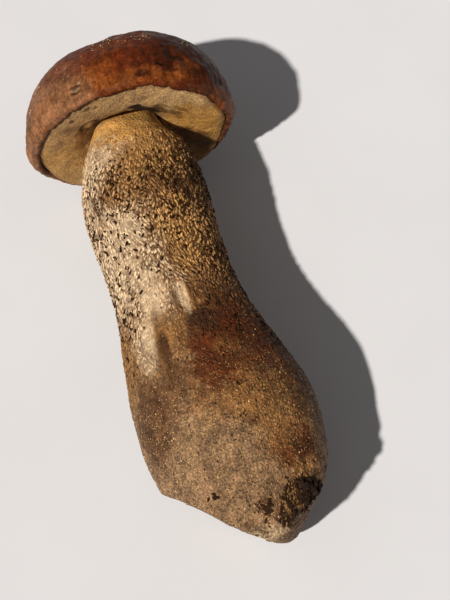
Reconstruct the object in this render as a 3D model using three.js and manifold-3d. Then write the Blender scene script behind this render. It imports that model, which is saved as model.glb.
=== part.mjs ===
// An orange bolete as picked, lying on its side on a flat surface: the cap rests on its edge and
// the thick stem rests on its swollen base. Millimetres, +Z up, the stem runs along Y from the
// base at -Y to the cap at +Y, and the origin is on the surface under the middle of the bolete.
// Four pieces: the cap, the ring of tubes under it with their pore mouths, the stem with its
// scabers, and a clod of soil stuck to the torn base.
import * as THREE from "three";
import { mergeVertices } from "three/addons/utils/BufferGeometryUtils.js";
import Module from "manifold-3d";

const wasm = await Module();
wasm.setup();

// Where the bolete lies: its own points are shifted so that the origin is under its middle.
const CENTRING = new THREE.Vector3(-0.3, -8.9, 0);
const SURFACE_Z = 0;
const CLEARANCE = 0.35; // between neighbouring pieces of flesh
const SOIL_GAP = 0.65; // clears the low scabers that the soil sits on

// The cap's frame: the middle of its rim, and how its axis leans off +Y.
const CAP_MIDDLE = new THREE.Vector3(0, 60, 30.5);
const CAP_AXIS = new THREE.Vector3(0.031, 0.998, 0.052).normalize();
const CAP_SIDE = new THREE.Vector3().crossVectors(CAP_AXIS, new THREE.Vector3(0, 0, 1)).normalize();
const CAP_RISE = new THREE.Vector3().crossVectors(CAP_SIDE, CAP_AXIS);

// The cap's profile, by height above the rim and radius.
const CAP_HEIGHT = 31.0;
const CAP_RADIUS = 31.2;
const WIDEST_HEIGHT = 3.5;
const RIM_RADIUS = 28.7;
const RIM_DROP = 1.2;
const LIP_INNER_RADIUS = 28.1;
// The rim is wavy: how far it is raised towards the crown, by angle round the cap's axis in degrees.
const RIM_WAVE = [
  { angle: 0, lift: -0.2 },
  { angle: 25, lift: -1.8 },
  { angle: 50, lift: -0.1 },
  { angle: 78, lift: 1.7 },
  { angle: 110, lift: 1.2 },
  { angle: 145, lift: 0.0 },
  { angle: 190, lift: 0.2 },
  { angle: 225, lift: 2.2 },
  { angle: 270, lift: 1.2 },
  { angle: 320, lift: 1.0 },
  { angle: 360, lift: -0.2 },
];
const LIP_INNER_HEIGHT = -0.8;
const RECESS_RADIUS = 27.8;
const RECESS_EDGE = 1.0;
const FLESH_HEIGHT = 7.6; // where the cap flesh meets the tubes
const SOCKET_TOP = 13.4;
const DOME_POWER = 2 / 2.05;
const RIM_POWER = 0.9;
const WRINKLE_DEPTH = 0.18;
const RIM_WRINKLE_DEPTH = 0.3; // added to it near the rim
const RAGGED_WAVE = 0.25;
const RAGGED_CHANCE = 0.4;
const CROWN_SHIFT = { side: 1.0, rise: 0.5 };
// The dome is flatter on its upper left shoulder and at its lower left edge (side, rise, height).
const CAP_FLATS = [
  { facing: new THREE.Vector3(-0.18, 0.52, 0.83).normalize(), distance: 30.9, edge: 1.2 },
  { facing: new THREE.Vector3(-0.45, -0.89, 0).normalize(), distance: 29.7, edge: 0.8 },
];

// The tubes' pore face, from the rim in to the stem: radius and height above the rim.
const PORE_FACE = [
  [27.2, 0.6],
  [26.3, -0.1],
  [24.5, -0.5],
  [21.5, -0.5],
  [18.5, 0.0],
  [16.0, 0.9],
  [14.0, 2.0],
  [12.0, 3.2],
  [10.4, 4.4],
  [9.4, 5.4],
];
const PORE_DEPTH = 0.45;
const PORE_DRIFT = 0.5;
const TUBES_MIDDLE_RADIUS = 19; // halfway along the flat top of the tubes
const TUBES_TOP_INSET = 0.1;

// Between which radii a loop under the cap changes over: from round to the cap's outline, from the
// stem's centre to the cap's, and from level to the wave of the rim.
const TO_OUTLINE = [17, 24];
const TO_CAP_CENTRE = [11, 20];
const TO_RIM_WAVE = [18, 27];

// The stem's stations: along Y, sideways, height of the centre and radius.
const STEM = [
  { y: 73, x: 0.4, z: 31.2, r: 8.6 },
  { y: 69, x: 0.2, z: 31.0, r: 8.6 },
  { y: 66, x: -0.1, z: 30.8, r: 8.8 },
  { y: 62, x: -0.5, z: 30.6, r: 10.5 },
  { y: 59, x: -0.8, z: 30.5, r: 12.3 },
  { y: 56, x: -0.9, z: 30.3, r: 14.2 },
  { y: 52, x: -0.8, z: 30.1, r: 16.0 },
  { y: 46, x: -0.6, z: 29.8, r: 17.3 },
  { y: 38, x: -0.9, z: 29.4, r: 18.4 },
  { y: 27, x: -0.5, z: 28.8, r: 17.9 },
  { y: 14, x: 0.6, z: 27.8, r: 17.5 },
  { y: 4, x: 1.3, z: 26.9, r: 18.2 },
  { y: -8, x: 2.5, z: 25.9, r: 20.7 },
  { y: -20, x: 4.2, z: 25.0, r: 23.4 },
  { y: -32, x: 6.3, z: 24.6, r: 25.2 },
  { y: -42, x: 7.6, z: 24.2, r: 24.7 },
  { y: -50, x: 8.5, z: 23.9, r: 23.3 },
];
const BASE_LENGTH = 27; // the rounded end past the last station, before it is torn off
const BASE_SHIFT = 2;
const BASE_POWER = 0.5; // how blunt the rounded end is
// The two torn faces of the base: the way each faces, a point on it, how soft its edge is, and how
// far it waves in and out.
const TORN_FACES = [
  { facing: [-0.534, -0.792, -0.296], point: [15.6, -66.5, 12], edge: 0.6, wave: 1.15 },
  { facing: [0.734, -0.685, -0.059], point: [29.4, -53.6, 12], edge: 5.2, wave: 0 },
];
const TORN_WAVELENGTH = 38;
const TORN_WAVE_START = -4; // where along X the torn edge crosses from a hollow to a swell

// How finely each piece is faceted. Each count around is even, so that bumps and pits can alternate.
const CAP_AROUND = 56;
const DOME_RINGS = 17;
const RIM_RINGS = 4;
const PORES_AROUND = 68;
const PORE_STEPS = 13;
const STEM_AROUND = 56;
const STEM_STEP = 2.0;
const END_RINGS = 13;

const SCABER_HEIGHT = 1.1;
const SCABER_DRIFT = 0.9; // how far a scaber may stand from its place in the pattern
// Where the scabers fade: up to the smooth top, down to the soiled base, and down to the surface.
const SMOOTH_TOP = [50, 58];
const SOILED_BASE = [-25, 12];
const SOILED_SCABERS = 0.45;
const OFF_SURFACE = [0.6, 3];

// The soil: rough lumps that run into each other, pressed on the torn side of the base.
const LUMPS = [
  { at: [19.8, -60.2, 37.6], size: [4.0, 4.0, 5.6] },
  { at: [21.6, -58.0, 31.6], size: [4.0, 3.8, 5.6] },
  { at: [18.2, -60.9, 41.6], size: [3.1, 3.1, 3.1] },
  { at: [17.8, -63.8, 38.6], size: [2.9, 2.9, 3.4] },
];
const LUMP_ROUGHNESS = 0.26;
const COLOURS = {
  cap: { color: 0x8a3f1c, roughness: 0.55 },
  pores: { color: 0xb89a62, roughness: 0.85 },
  stem: { color: 0xa98a62, roughness: 0.9 },
  soil: { color: 0x2e2017, roughness: 1.0 },
};

// A fixed pseudo-random share from 0 to 1 for a pair of whole numbers.
function chance(i, j) {
  const value = Math.sin(i * 12.9898 + j * 78.233) * 43758.5453;
  return value - Math.floor(value);
}

// A smooth step from 0 at the first limit to 1 at the second.
function ease(from, to, value) {
  return THREE.MathUtils.smoothstep((value - from) / (to - from), 0, 1);
}

// Reads a column of a table of stations smoothly at a place along it.
function along(table, key, column, place) {
  const rows = table[0][key] < table[table.length - 1][key] ? table : [...table].reverse();
  let i = rows.findIndex((row) => row[key] > place) - 1;
  if (i < 0) i = place < rows[0][key] ? 0 : rows.length - 2;
  const slope = (k) => {
    const before = rows[Math.max(k - 1, 0)];
    const after = rows[Math.min(k + 1, rows.length - 1)];
    return (after[column] - before[column]) / (after[key] - before[key]);
  };
  const span = rows[i + 1][key] - rows[i][key];
  const t = (place - rows[i][key]) / span;
  return (
    (1 + 2 * t) * (1 - t) ** 2 * rows[i][column] +
    t * (1 - t) ** 2 * span * slope(i) +
    t * t * (3 - 2 * t) * rows[i + 1][column] +
    t * t * (t - 1) * span * slope(i + 1)
  );
}

// Presses a point back behind a plane, with a soft edge.
function press(point, facing, distance, edge) {
  const over = point.dot(facing) - distance;
  const push = 0.5 * (over + Math.sqrt(over * over + edge * edge));
  return point.addScaledVector(facing, -push);
}

// A closed skin through rings of points. The first and last ring are single points. Each quad is
// split so that every other point stands alone, as a small pyramid or pit.
function skin(rings) {
  const positions = [];
  const faces = [];
  const starts = [];
  for (const ring of rings) {
    starts.push(positions.length / 3);
    for (const p of ring) positions.push(p.x, p.y, p.z);
  }
  for (let i = 0; i + 1 < rings.length; i++) {
    const a = starts[i];
    const b = starts[i + 1];
    const around = Math.max(rings[i].length, rings[i + 1].length);
    for (let j = 0; j < around; j++) {
      const k = (j + 1) % around;
      if (rings[i].length === 1) faces.push(a, b + k, b + j);
      else if (rings[i + 1].length === 1) faces.push(a + j, a + k, b);
      else if ((i + j) % 2 === 0) faces.push(a + j, a + k, b + j, a + k, b + k, b + j);
      else faces.push(a + j, b + k, b + j, a + j, a + k, b + k);
    }
  }
  const geometry = new THREE.BufferGeometry();
  geometry.setAttribute("position", new THREE.Float32BufferAttribute(positions, 3));
  geometry.setIndex(faces);
  const facets = geometry.toNonIndexed();
  facets.computeVertexNormals();
  return facets;
}

// A point of the cap's frame in the bolete's frame.
function inCapFrame(side, rise, height) {
  return CAP_MIDDLE.clone()
    .addScaledVector(CAP_SIDE, side)
    .addScaledVector(CAP_RISE, rise)
    .addScaledVector(CAP_AXIS, height);
}

// How the cap's outline departs from a circle, by angle round its axis.
function capOutline(angle) {
  return 1 + 0.02 * Math.cos(2 * (angle - 0.75)) - 0.018 * Math.cos(3 * (angle + 0.48));
}

// How far the rim is raised at an angle.
function rimLift(angle) {
  return along(RIM_WAVE, "angle", "lift", THREE.MathUtils.radToDeg(angle));
}

// The torn edge of the skin: how far it hangs below the rim.
function ragged(angle, j) {
  return RAGGED_WAVE * Math.sin(11 * angle + 2.3) + RAGGED_CHANCE * (chance(j, 7) - 0.5);
}

// Shallow wrinkles and dents of the cap's skin, deepest above the rim.
function capWrinkle(angle, height) {
  const lower = 1 - ease(4, 22, height);
  const dents = Math.sin(7 * angle + 0.35 * height) * Math.sin(3 * angle - 0.21 * height + 1);
  return (WRINKLE_DEPTH + RIM_WRINKLE_DEPTH * lower) * dents;
}

// A point of the cap's skin.
function capSkinPoint(radius, angle, height) {
  const lift = THREE.MathUtils.clamp((height - WIDEST_HEIGHT) / (CAP_HEIGHT - WIDEST_HEIGHT), 0, 1);
  const r = radius * capOutline(angle) + capWrinkle(angle, height) * ease(0, 12, radius);
  const local = new THREE.Vector3(
    r * Math.cos(angle) + CROWN_SHIFT.side * lift * lift,
    r * Math.sin(angle) + CROWN_SHIFT.rise * lift * lift,
    height,
  );
  for (const flat of CAP_FLATS) press(local, flat.facing, flat.distance, flat.edge);
  const point = inCapFrame(local.x, local.y, local.z);
  point.z = Math.max(point.z, SURFACE_Z);
  return point;
}

// A loop of points round the cap's axis, from a function of the angle.
function loop(count, pointAt) {
  return Array.from({ length: count }, (_, j) => pointAt((j / count) * 2 * Math.PI, j));
}

// The cap: its dome down to the ragged edge, in under the lip, up the recess that holds the tubes,
// across the flesh, and up the socket that the stem's top fills.
function cap() {
  const rings = [];
  for (let k = 1; k <= DOME_RINGS; k++) {
    const a = (Math.PI / 2) * (1 - k / DOME_RINGS);
    const radius = CAP_RADIUS * Math.cos(a) ** DOME_POWER;
    const height = WIDEST_HEIGHT + (CAP_HEIGHT - WIDEST_HEIGHT) * Math.sin(a) ** DOME_POWER;
    rings.push(loop(CAP_AROUND, (angle) => capSkinPoint(radius, angle, height)));
  }
  for (let k = 1; k <= RIM_RINGS; k++) {
    const a = (Math.PI / 2) * (1 - k / RIM_RINGS);
    const radius = RIM_RADIUS + (CAP_RADIUS - RIM_RADIUS) * Math.sin(a) ** RIM_POWER;
    const height = -RIM_DROP + (WIDEST_HEIGHT + RIM_DROP) * (1 - Math.cos(a));
    const share = k / RIM_RINGS;
    const rimHeight = (angle, j) => height + share * rimLift(angle) - share ** 2 * ragged(angle, j);
    rings.push(loop(CAP_AROUND, (angle, j) => capSkinPoint(radius, angle, rimHeight(angle, j))));
  }
  const lipHeight = (angle, j) => LIP_INNER_HEIGHT + rimLift(angle) - ragged(angle, j);
  rings.push(loop(CAP_AROUND, (angle, j) => capSkinPoint(LIP_INNER_RADIUS, angle, lipHeight(angle, j))));
  rings.push(loop(CAP_AROUND, (angle) => recessPoint(RECESS_RADIUS, angle, RECESS_EDGE + rimLift(angle))));
  const inside = [
    [RECESS_RADIUS, FLESH_HEIGHT],
    [(RECESS_RADIUS + socketRadius(FLESH_HEIGHT)) / 2, FLESH_HEIGHT],
    [socketRadius(FLESH_HEIGHT), FLESH_HEIGHT],
    [socketRadius(SOCKET_TOP), SOCKET_TOP],
  ];
  for (const [radius, height] of inside) {
    rings.push(loop(CAP_AROUND, (angle) => recessPoint(radius, angle, height)));
  }
  return skin([[capSkinPoint(0, 0, CAP_HEIGHT)], ...rings, [inCapFrame(0, 0, SOCKET_TOP)]]);
}

// A point under the cap: outer loops follow the cap's outline, and inner ones the stem's centre.
function recessPoint(radius, angle, height) {
  const r = radius * THREE.MathUtils.lerp(1, capOutline(angle), ease(...TO_OUTLINE, radius));
  const y = CAP_MIDDLE.y + height;
  const axis = inCapFrame(0, 0, height);
  const offset = new THREE.Vector3(along(STEM, "y", "x", y) - axis.x, 0, along(STEM, "y", "z", y) - axis.z);
  return inCapFrame(r * Math.cos(angle), r * Math.sin(angle), height).addScaledVector(
    offset,
    1 - ease(...TO_CAP_CENTRE, radius),
  );
}

// The hole that the stem passes through: its radius clears the stem at each height.
function socketRadius(height) {
  return along(STEM, "y", "r", CAP_MIDDLE.y + height) + CLEARANCE;
}

// The ring of tubes: the pore face below, an outer wall inside the cap's recess, a top against the
// cap flesh, and an inner wall round the stem. Every other point of the pore face is a pit.
function poreLayer() {
  const face = PORE_FACE.map(([radius, height]) => ({ radius, height }));
  const outerRadius = RECESS_RADIUS - CLEARANCE;
  const topHeight = FLESH_HEIGHT - CLEARANCE;
  const rings = [];
  for (let i = 0; i <= PORE_STEPS; i++) {
    const radius = THREE.MathUtils.lerp(face[0].radius, face[face.length - 1].radius, i / PORE_STEPS);
    const height = along(face, "radius", "height", radius);
    rings.push({ radius, height, onFace: true, pitted: i > 0 && i < PORE_STEPS });
  }
  rings.push({ radius: socketRadius(topHeight), height: topHeight });
  rings.push({ radius: TUBES_MIDDLE_RADIUS, height: topHeight });
  rings.push({ radius: outerRadius - TUBES_TOP_INSET, height: topHeight });
  const points = rings.map(({ radius, height, onFace, pitted }, i) =>
    loop(PORES_AROUND, (angle, j) => {
      const wave = onFace ? rimLift(angle) * ease(...TO_RIM_WAVE, radius) : 0;
      if (!pitted) return recessPoint(radius, angle, height + wave);
      const pit = (i + j) % 2 === 0 ? PORE_DEPTH * (0.7 + 0.6 * chance(i, j)) : 0;
      const r = radius + (chance(i, j + 0.3) - 0.5) * PORE_DRIFT;
      const turn = ((chance(i + 0.7, j) - 0.5) * PORE_DRIFT) / radius;
      return recessPoint(r, angle + turn, height + wave + pit);
    }),
  );
  return ring(points);
}

// A closed ring-shaped skin: as skin(), with the last loop of points joined back to the first.
function ring(loops) {
  const count = loops.length;
  const around = loops[0].length;
  const positions = loops.flat().flatMap((p) => [p.x, p.y, p.z]);
  const faces = [];
  for (let i = 0; i < count; i++) {
    const a = i * around;
    const b = ((i + 1) % count) * around;
    for (let j = 0; j < around; j++) {
      const k = (j + 1) % around;
      if ((i + j) % 2 === 0) faces.push(a + j, a + k, b + j, a + k, b + k, b + j);
      else faces.push(a + j, b + k, b + j, a + j, a + k, b + k);
    }
  }
  const geometry = new THREE.BufferGeometry();
  geometry.setAttribute("position", new THREE.Float32BufferAttribute(positions, 3));
  geometry.setIndex(faces);
  const facets = geometry.toNonIndexed();
  facets.computeVertexNormals();
  return facets;
}

// How much the scabers stand out at a place on the stem: none on the smooth top under the cap,
// tallest on the upper half, low on the soiled base, and none where the stem lies on the surface.
function scaberShare(y, point) {
  const belowCap = 1 - ease(...SMOOTH_TOP, y);
  const onBulb = THREE.MathUtils.lerp(SOILED_SCABERS, 1, ease(...SOILED_BASE, y));
  const offTheGround = ease(...OFF_SURFACE, point.z);
  return belowCap * onBulb * offTheGround;
}

// One ring of the stem: its centre, its radius and the way along it.
function stemSection(y) {
  const at = (place) =>
    new THREE.Vector3(along(STEM, "y", "x", place), place, along(STEM, "y", "z", place));
  const top = STEM[0].y;
  const bottom = STEM[STEM.length - 1].y;
  const direction = at(Math.min(y + 0.5, top)).sub(at(Math.max(y - 0.5, bottom))).normalize();
  return { centre: at(y), radius: along(STEM, "y", "r", y), direction };
}

// Tears the base off: presses a point back behind the torn faces.
function tear(point) {
  for (const { facing, point: on, edge, wave } of TORN_FACES) {
    const normal = new THREE.Vector3(...facing).normalize();
    const phase = (2 * Math.PI * (point.x - TORN_WAVE_START)) / TORN_WAVELENGTH;
    const swell = wave * (0.1 + Math.sin(phase));
    press(point, normal, new THREE.Vector3(...on).dot(normal) + swell, edge);
  }
  return point;
}

function stemPoint(section, angle, grow) {
  const side = new THREE.Vector3().crossVectors(section.direction, new THREE.Vector3(0, 0, 1)).normalize();
  const rise = new THREE.Vector3().crossVectors(side, section.direction);
  const out = side.multiplyScalar(Math.cos(angle)).addScaledVector(rise, Math.sin(angle));
  const point = tear(section.centre.clone().addScaledVector(out, section.radius));
  point.addScaledVector(out, grow);
  return { point, out };
}

// Every ring of the stem from the plug in the cap flesh to the rounded end of the base.
function stemSections() {
  const sections = [];
  const top = STEM[0].y;
  const bottom = STEM[STEM.length - 1].y;
  const count = Math.round((top - bottom) / STEM_STEP);
  for (let i = 0; i < count; i++) sections.push(stemSection(top - i * STEM_STEP));
  const last = stemSection(bottom);
  for (let k = 0; k < END_RINGS; k++) {
    const turn = (k / END_RINGS) * (Math.PI / 2);
    const centre = last.centre.clone();
    centre.y -= BASE_LENGTH * Math.sin(turn);
    centre.x += BASE_SHIFT * Math.sin(turn) ** 2;
    sections.push({ centre, radius: last.radius * Math.cos(turn) ** BASE_POWER, direction: last.direction });
  }
  return sections;
}

// The stem's skin, with its scabers, or smooth and a little larger as a cutter for what clings to it.
function stemSkin(grow) {
  const sections = stemSections();
  const rings = sections.map((section, i) =>
    loop(STEM_AROUND, (angle, j) => {
      const share = scaberShare(section.centre.y, stemPoint(section, angle, grow).point);
      const turn = (chance(i, j + 0.3) - 0.5) * SCABER_DRIFT * share;
      const { point, out } = stemPoint(section, angle + turn / section.radius, grow);
      if (grow > 0) return point;
      const tuft = (i + j) % 2 === 0 ? 0.3 + 0.7 * chance(j, i) ** 1.5 : 0;
      point.addScaledVector(out, SCABER_HEIGHT * tuft * share);
      point.addScaledVector(section.direction, (chance(i + 0.7, j) - 0.5) * SCABER_DRIFT * share);
      point.z = Math.max(point.z, SURFACE_Z);
      return point;
    }),
  );
  const tip = tear(sections[sections.length - 1].centre.clone());
  return skin([[stemSection(STEM[0].y).centre], ...rings, [tip]]);
}

// A closed mesh as a solid that can be joined and cut, and back.
function solidOf(geometry) {
  const bare = geometry.clone();
  bare.deleteAttribute("normal");
  bare.deleteAttribute("uv");
  const merged = mergeVertices(bare, 1e-3);
  return new wasm.Manifold(
    new wasm.Mesh({
      numProp: 3,
      vertProperties: merged.attributes.position.array,
      triVerts: new Uint32Array(merged.index.array),
    }),
  );
}

function geometryOf(solid) {
  const mesh = solid.getMesh();
  const geometry = new THREE.BufferGeometry();
  geometry.setAttribute("position", new THREE.BufferAttribute(mesh.vertProperties, 3));
  geometry.setIndex(new THREE.BufferAttribute(mesh.triVerts, 1));
  const facets = geometry.toNonIndexed();
  facets.computeVertexNormals();
  return facets;
}

// The clod: the lumps joined, with the stem's skin cut out of them.
function soilClod() {
  let clod = null;
  LUMPS.forEach(({ at, size }, n) => {
    const geometry = new THREE.IcosahedronGeometry(1, 4);
    const position = geometry.getAttribute("position");
    for (let i = 0; i < position.count; i++) {
      const v = new THREE.Vector3().fromBufferAttribute(position, i);
      const coarse = Math.sin(5.1 * v.x + n) * Math.sin(4.7 * v.y - n) * Math.sin(5.3 * v.z + 2 * n);
      const fine = Math.sin(11 * v.x - n) * Math.sin(12 * v.y) * Math.sin(13 * v.z + n);
      v.multiplyScalar(1 + LUMP_ROUGHNESS * (coarse + 0.5 * fine));
      v.multiply(new THREE.Vector3(...size)).add(new THREE.Vector3(...at));
      position.setXYZ(i, v.x, v.y, v.z);
    }
    const lump = solidOf(geometry);
    clod = clod ? clod.add(lump) : lump;
  });
  const pieces = clod.subtract(solidOf(stemSkin(SOIL_GAP))).decompose();
  pieces.sort((a, b) => b.volume() - a.volume()); // loose crumbs are left out
  return geometryOf(pieces[0]);
}

function piece(name, geometry, look) {
  const mesh = new THREE.Mesh(geometry, new THREE.MeshStandardMaterial({ ...look, metalness: 0 }));
  mesh.name = name;
  return mesh;
}

const bolete = new THREE.Group();
bolete.position.copy(CENTRING);
bolete.add(piece("cap", cap(), COLOURS.cap));
bolete.add(piece("pore_layer", poreLayer(), COLOURS.pores));
bolete.add(piece("stem", stemSkin(0), COLOURS.stem));
bolete.add(piece("soil_clod", soilClod(), COLOURS.soil));

const part = new THREE.Group();
part.add(bolete);

export default part;
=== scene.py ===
# An orange bolete lying on its side, dressed for a picture: the cap with its skin, the pore face,
# the stem with its scabers, and the soil, sand and forest bits that cling to it.
# Sizes in this file are millimetres of the bolete; meshes are written in metres.
import math

import bpy
import numpy as np
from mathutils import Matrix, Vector, noise


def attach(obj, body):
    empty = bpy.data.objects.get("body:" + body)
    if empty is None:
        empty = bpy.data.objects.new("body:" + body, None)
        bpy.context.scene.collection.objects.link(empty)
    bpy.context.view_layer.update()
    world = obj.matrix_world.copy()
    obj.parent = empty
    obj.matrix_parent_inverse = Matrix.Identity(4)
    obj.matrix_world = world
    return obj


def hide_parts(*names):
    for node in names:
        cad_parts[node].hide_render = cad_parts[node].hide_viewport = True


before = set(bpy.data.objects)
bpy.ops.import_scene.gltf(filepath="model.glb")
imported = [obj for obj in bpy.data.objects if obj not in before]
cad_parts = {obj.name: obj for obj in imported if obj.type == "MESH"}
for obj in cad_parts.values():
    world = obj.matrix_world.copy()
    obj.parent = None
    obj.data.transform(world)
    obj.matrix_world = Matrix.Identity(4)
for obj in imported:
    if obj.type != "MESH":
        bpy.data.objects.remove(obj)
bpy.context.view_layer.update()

bl_info = {
    "name": "Orange Bolete",
    "version": (1, 0, 0),
    "blender": (4, 5, 0),
    "location": "View3D > Sidebar > Bolete",
    "description": "Dresses a picked orange bolete that lies on its side",
    "category": "Add Mesh",
}

MM = 0.001
BODY = "root"
CENTRING = np.array([-0.3, -8.9, 0.0])

# The cap's frame: the middle of its rim, its axis towards the crown, its right side and its upper side.
CAP_MIDDLE = np.array([0.0, 60.0, 30.5])
CAP_AXIS = np.array([0.031, 0.998, 0.052])
CAP_AXIS = CAP_AXIS / np.linalg.norm(CAP_AXIS)
CAP_SIDE = np.cross(CAP_AXIS, [0.0, 0.0, 1.0])
CAP_SIDE = CAP_SIDE / np.linalg.norm(CAP_SIDE)
CAP_RISE = np.cross(CAP_SIDE, CAP_AXIS)

CAP_HEIGHT = 31.0
CAP_RADIUS = 31.2
WIDEST_HEIGHT = 3.5
RIM_RADIUS = 28.7
RIM_DROP = 1.2
LIP_INNER_RADIUS = 28.1
LIP_INNER_HEIGHT = -0.8
RECESS_RADIUS = 27.8
RECESS_EDGE = 1.0
FLESH_HEIGHT = 7.6
SOCKET_TOP = 13.4
DOME_POWER = 2 / 2.05
RIM_POWER = 0.9
CLEARANCE = 0.35  # between neighbouring pieces of flesh
CROWN_SHIFT = (1.0, 0.5)
# Flatter places of the dome: the way each faces, its distance from the middle, softness of its edge.
CAP_FLATS = (((-0.18, 0.52, 0.83), 30.9, 1.2), ((-0.45, -0.89, 0.0), 29.7, 0.8))

# How far the rim is raised towards the crown, by angle round the cap: 0 right, 90 up, 180 left.
RIM_ANGLES = (0, 25, 50, 78, 110, 145, 190, 225, 270, 320, 360)
RIM_LIFTS = (-0.2, -1.8, -0.1, 1.7, 1.2, 0.0, 0.2, 2.2, 1.2, 1.0, -0.2)

# The pore face from the rim in to the stem: radius and height above the rim.
PORE_RADII = (27.2, 26.3, 24.5, 21.5, 18.5, 16.0, 14.0, 12.0, 10.4, 9.4)
PORE_HEIGHTS = (0.6, -0.1, -0.5, -0.5, 0.0, 0.9, 2.0, 3.2, 4.4, 5.4)

# The stem's stations from the cap to the base: place along Y, sideways, height and radius.
STEM_Y = (73, 69, 66, 62, 59, 56, 52, 46, 38, 27, 14, 4, -8, -20, -32, -42, -50)
STEM_X = (0.4, 0.2, -0.1, -0.5, -0.8, -0.9, -0.8, -0.6, -0.9, -0.5, 0.6, 1.3, 2.5, 4.2, 6.3, 7.6, 8.5)
STEM_Z = (31.2, 31, 30.8, 30.6, 30.5, 30.3, 30.1, 29.8, 29.4, 28.8, 27.8, 26.9, 25.9, 25, 24.6, 24.2, 23.9)
STEM_R = (8.6, 8.6, 8.8, 10.5, 12.3, 14.2, 16, 17.3, 18.4, 17.9, 17.5, 18.2, 20.7, 23.4, 25.2, 24.7, 23.3)
BASE_Y = -50.0
BASE_LENGTH = 27.0
BASE_SHIFT = 2.0
END_SPAN = 32.0  # how much of the place along the stem the rounded end takes
# The torn faces of the base: the way each faces, a point on it, softness of its edge, how far it waves.
TORN_FACES = (
    ((-0.534, -0.792, -0.296), (15.6, -66.5, 12.0), 0.6, 1.15),
    ((0.734, -0.685, -0.059), (29.4, -53.6, 12.0), 5.2, 0.0),
)
TORN_WAVELENGTH = 38.0
TORN_WAVE_START = -4.0
# Marks in the flesh: place (radius for the knob), angle, half length, half width. The radius that
# turns an angle there into millimetres is next to each.
SCAR = (0.1, 92, 5.6, 2.0)
SCAR_RADIUS = 18.5
KNOB = (17.2, 134, 2.0, 2.6)
KNOB_RADIUS = 17.0
# The collar of flesh at the top of the stem: place, angle, length, degrees across, how far it stands out.
COLLAR = (60.5, 126.0, 3.2, 22.0, 2.2)
# The tubes bulge out over the lip of the cap: how far out, and how far down.
SPREAD_WIDTH = 2.3
SPREAD_DROP = 1.9
# Notches in the torn edge of the skin: angle, half width in half degrees, depth.
SKIN_NOTCHES = ((66, 0.9, 0.9), (41, 0.8, 1.0), (33, 0.7, 0.8), (14, 0.9, 0.7), (128, 0.8, 0.6))
# Pits in the cap: height above the rim, angle, size, how far they stand out.
CAP_PITS = ((4.0, 119, 1.0, -0.9), (7.0, 70, 1.6, -0.5), (9.6, 62, 1.8, -0.45), (3.4, 82, 1.0, -0.4))
PIT_RADIUS = 31.0

# Each skin is a grid that is bent: its rows and the faces around, and where in the rows a part ends.
CAP_GRID = (250, 380)
DOME_END = 0.68
RIM_END = 0.88
PORE_GRID = (150, 560)
PORE_FACE_END = 0.84
STEM_GRID = (310, 300)
PLUG_END = 0.01
STROKE_RADIUS = 18.0  # turns an angle on the stem into millimetres, for strokes of relief and dots


def colour_property(name, description, default):
    return bpy.props.FloatVectorProperty(
        name=name, description=description, subtype="COLOR", size=3, min=0.0, max=1.0, default=default
    )


def length_property(name, description, millimetres):
    return bpy.props.FloatProperty(
        name=name,
        description=description,
        default=millimetres * MM,
        min=0.0,
        subtype="DISTANCE",
        unit="LENGTH",
    )


def strength_property(name, description, default):
    return bpy.props.FloatProperty(name=name, description=description, default=default, min=0.0)


class BoleteCapSettings(bpy.types.PropertyGroup):
    """Colours of the cap."""

    maroon: colour_property("Maroon", "The crown of the cap", (0.092, 0.0185, 0.0058))
    olive: colour_property("Olive brown", "The shaded side of the cap", (0.048, 0.0115, 0.0040))
    # Orange also makes the painted highlights on the ridges of the skin's creases.
    orange: colour_property("Orange", "The band above the margin", (0.185, 0.055, 0.0125))
    # Pink is partly the skin's own colour and partly a painted sheen on the side towards the light.
    pink: colour_property("Pinkish brown", "The moist side of the cap", (0.195, 0.093, 0.048))
    # Dark also makes the painted shade in the skin's creases.
    dark: colour_property("Dark mottle", "Bruises and pits of the skin", (0.022, 0.0060, 0.0035))
    flake: colour_property("Flake", "Dry loosened skin by the pit", (0.26, 0.185, 0.125))
    flesh: colour_property("Flesh", "The pale flesh under the skin", (0.55, 0.42, 0.25))


class BoletePoreSettings(bpy.types.PropertyGroup):
    """Sizes and colours of the pore face."""

    pore_size: length_property("Pore size", "Width of one pore mouth", 0.42)
    cream: colour_property("Cream", "Clean pores", (0.40, 0.262, 0.130))
    grey: colour_property("Grey olive", "Older pores at the upper left", (0.29, 0.180, 0.088))
    gold: colour_property("Gold", "Ochre pores at the sides", (0.42, 0.225, 0.062))
    # This colour also lays the painted shadow of the stem across the pores.
    bruise_and_shadow: colour_property("Bruise", "Where the pores were touched", (0.070, 0.030, 0.010))
    # Painted shade: the dark of the crack beside the stem, where shade falls.
    crevice_shade: colour_property("Crevice", "The crack beside the stem", (0.012, 0.005, 0.003))


class BoleteStemSettings(bpy.types.PropertyGroup):
    """Sizes and colours of the stem's flesh."""

    relief: length_property("Relief", "Height of the net and fibres in the flesh", 0.32)
    cream: colour_property("Cream", "Clean pale flesh", (0.575, 0.465, 0.350))
    straw: colour_property("Straw", "Golden flesh under the cap", (0.475, 0.270, 0.090))
    tan: colour_property("Tan", "Handled flesh", (0.265, 0.140, 0.055))
    # Umber also lays painted shade down the right side of the stem.
    umber: colour_property("Umber", "Brown between the scabers", (0.085, 0.036, 0.014))
    # Bark also lays painted shade on the right side of the stem.
    bark: colour_property("Bark", "The darkest bruises", (0.026, 0.012, 0.007))
    rust: colour_property("Rust", "The red-brown patch on the swelling", (0.084, 0.0200, 0.0052))
    ochre: colour_property("Ochre", "Warm brown of the swelling", (0.190, 0.091, 0.031))
    grey: colour_property("Earth grey", "The soiled base", (0.180, 0.113, 0.068))


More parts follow.
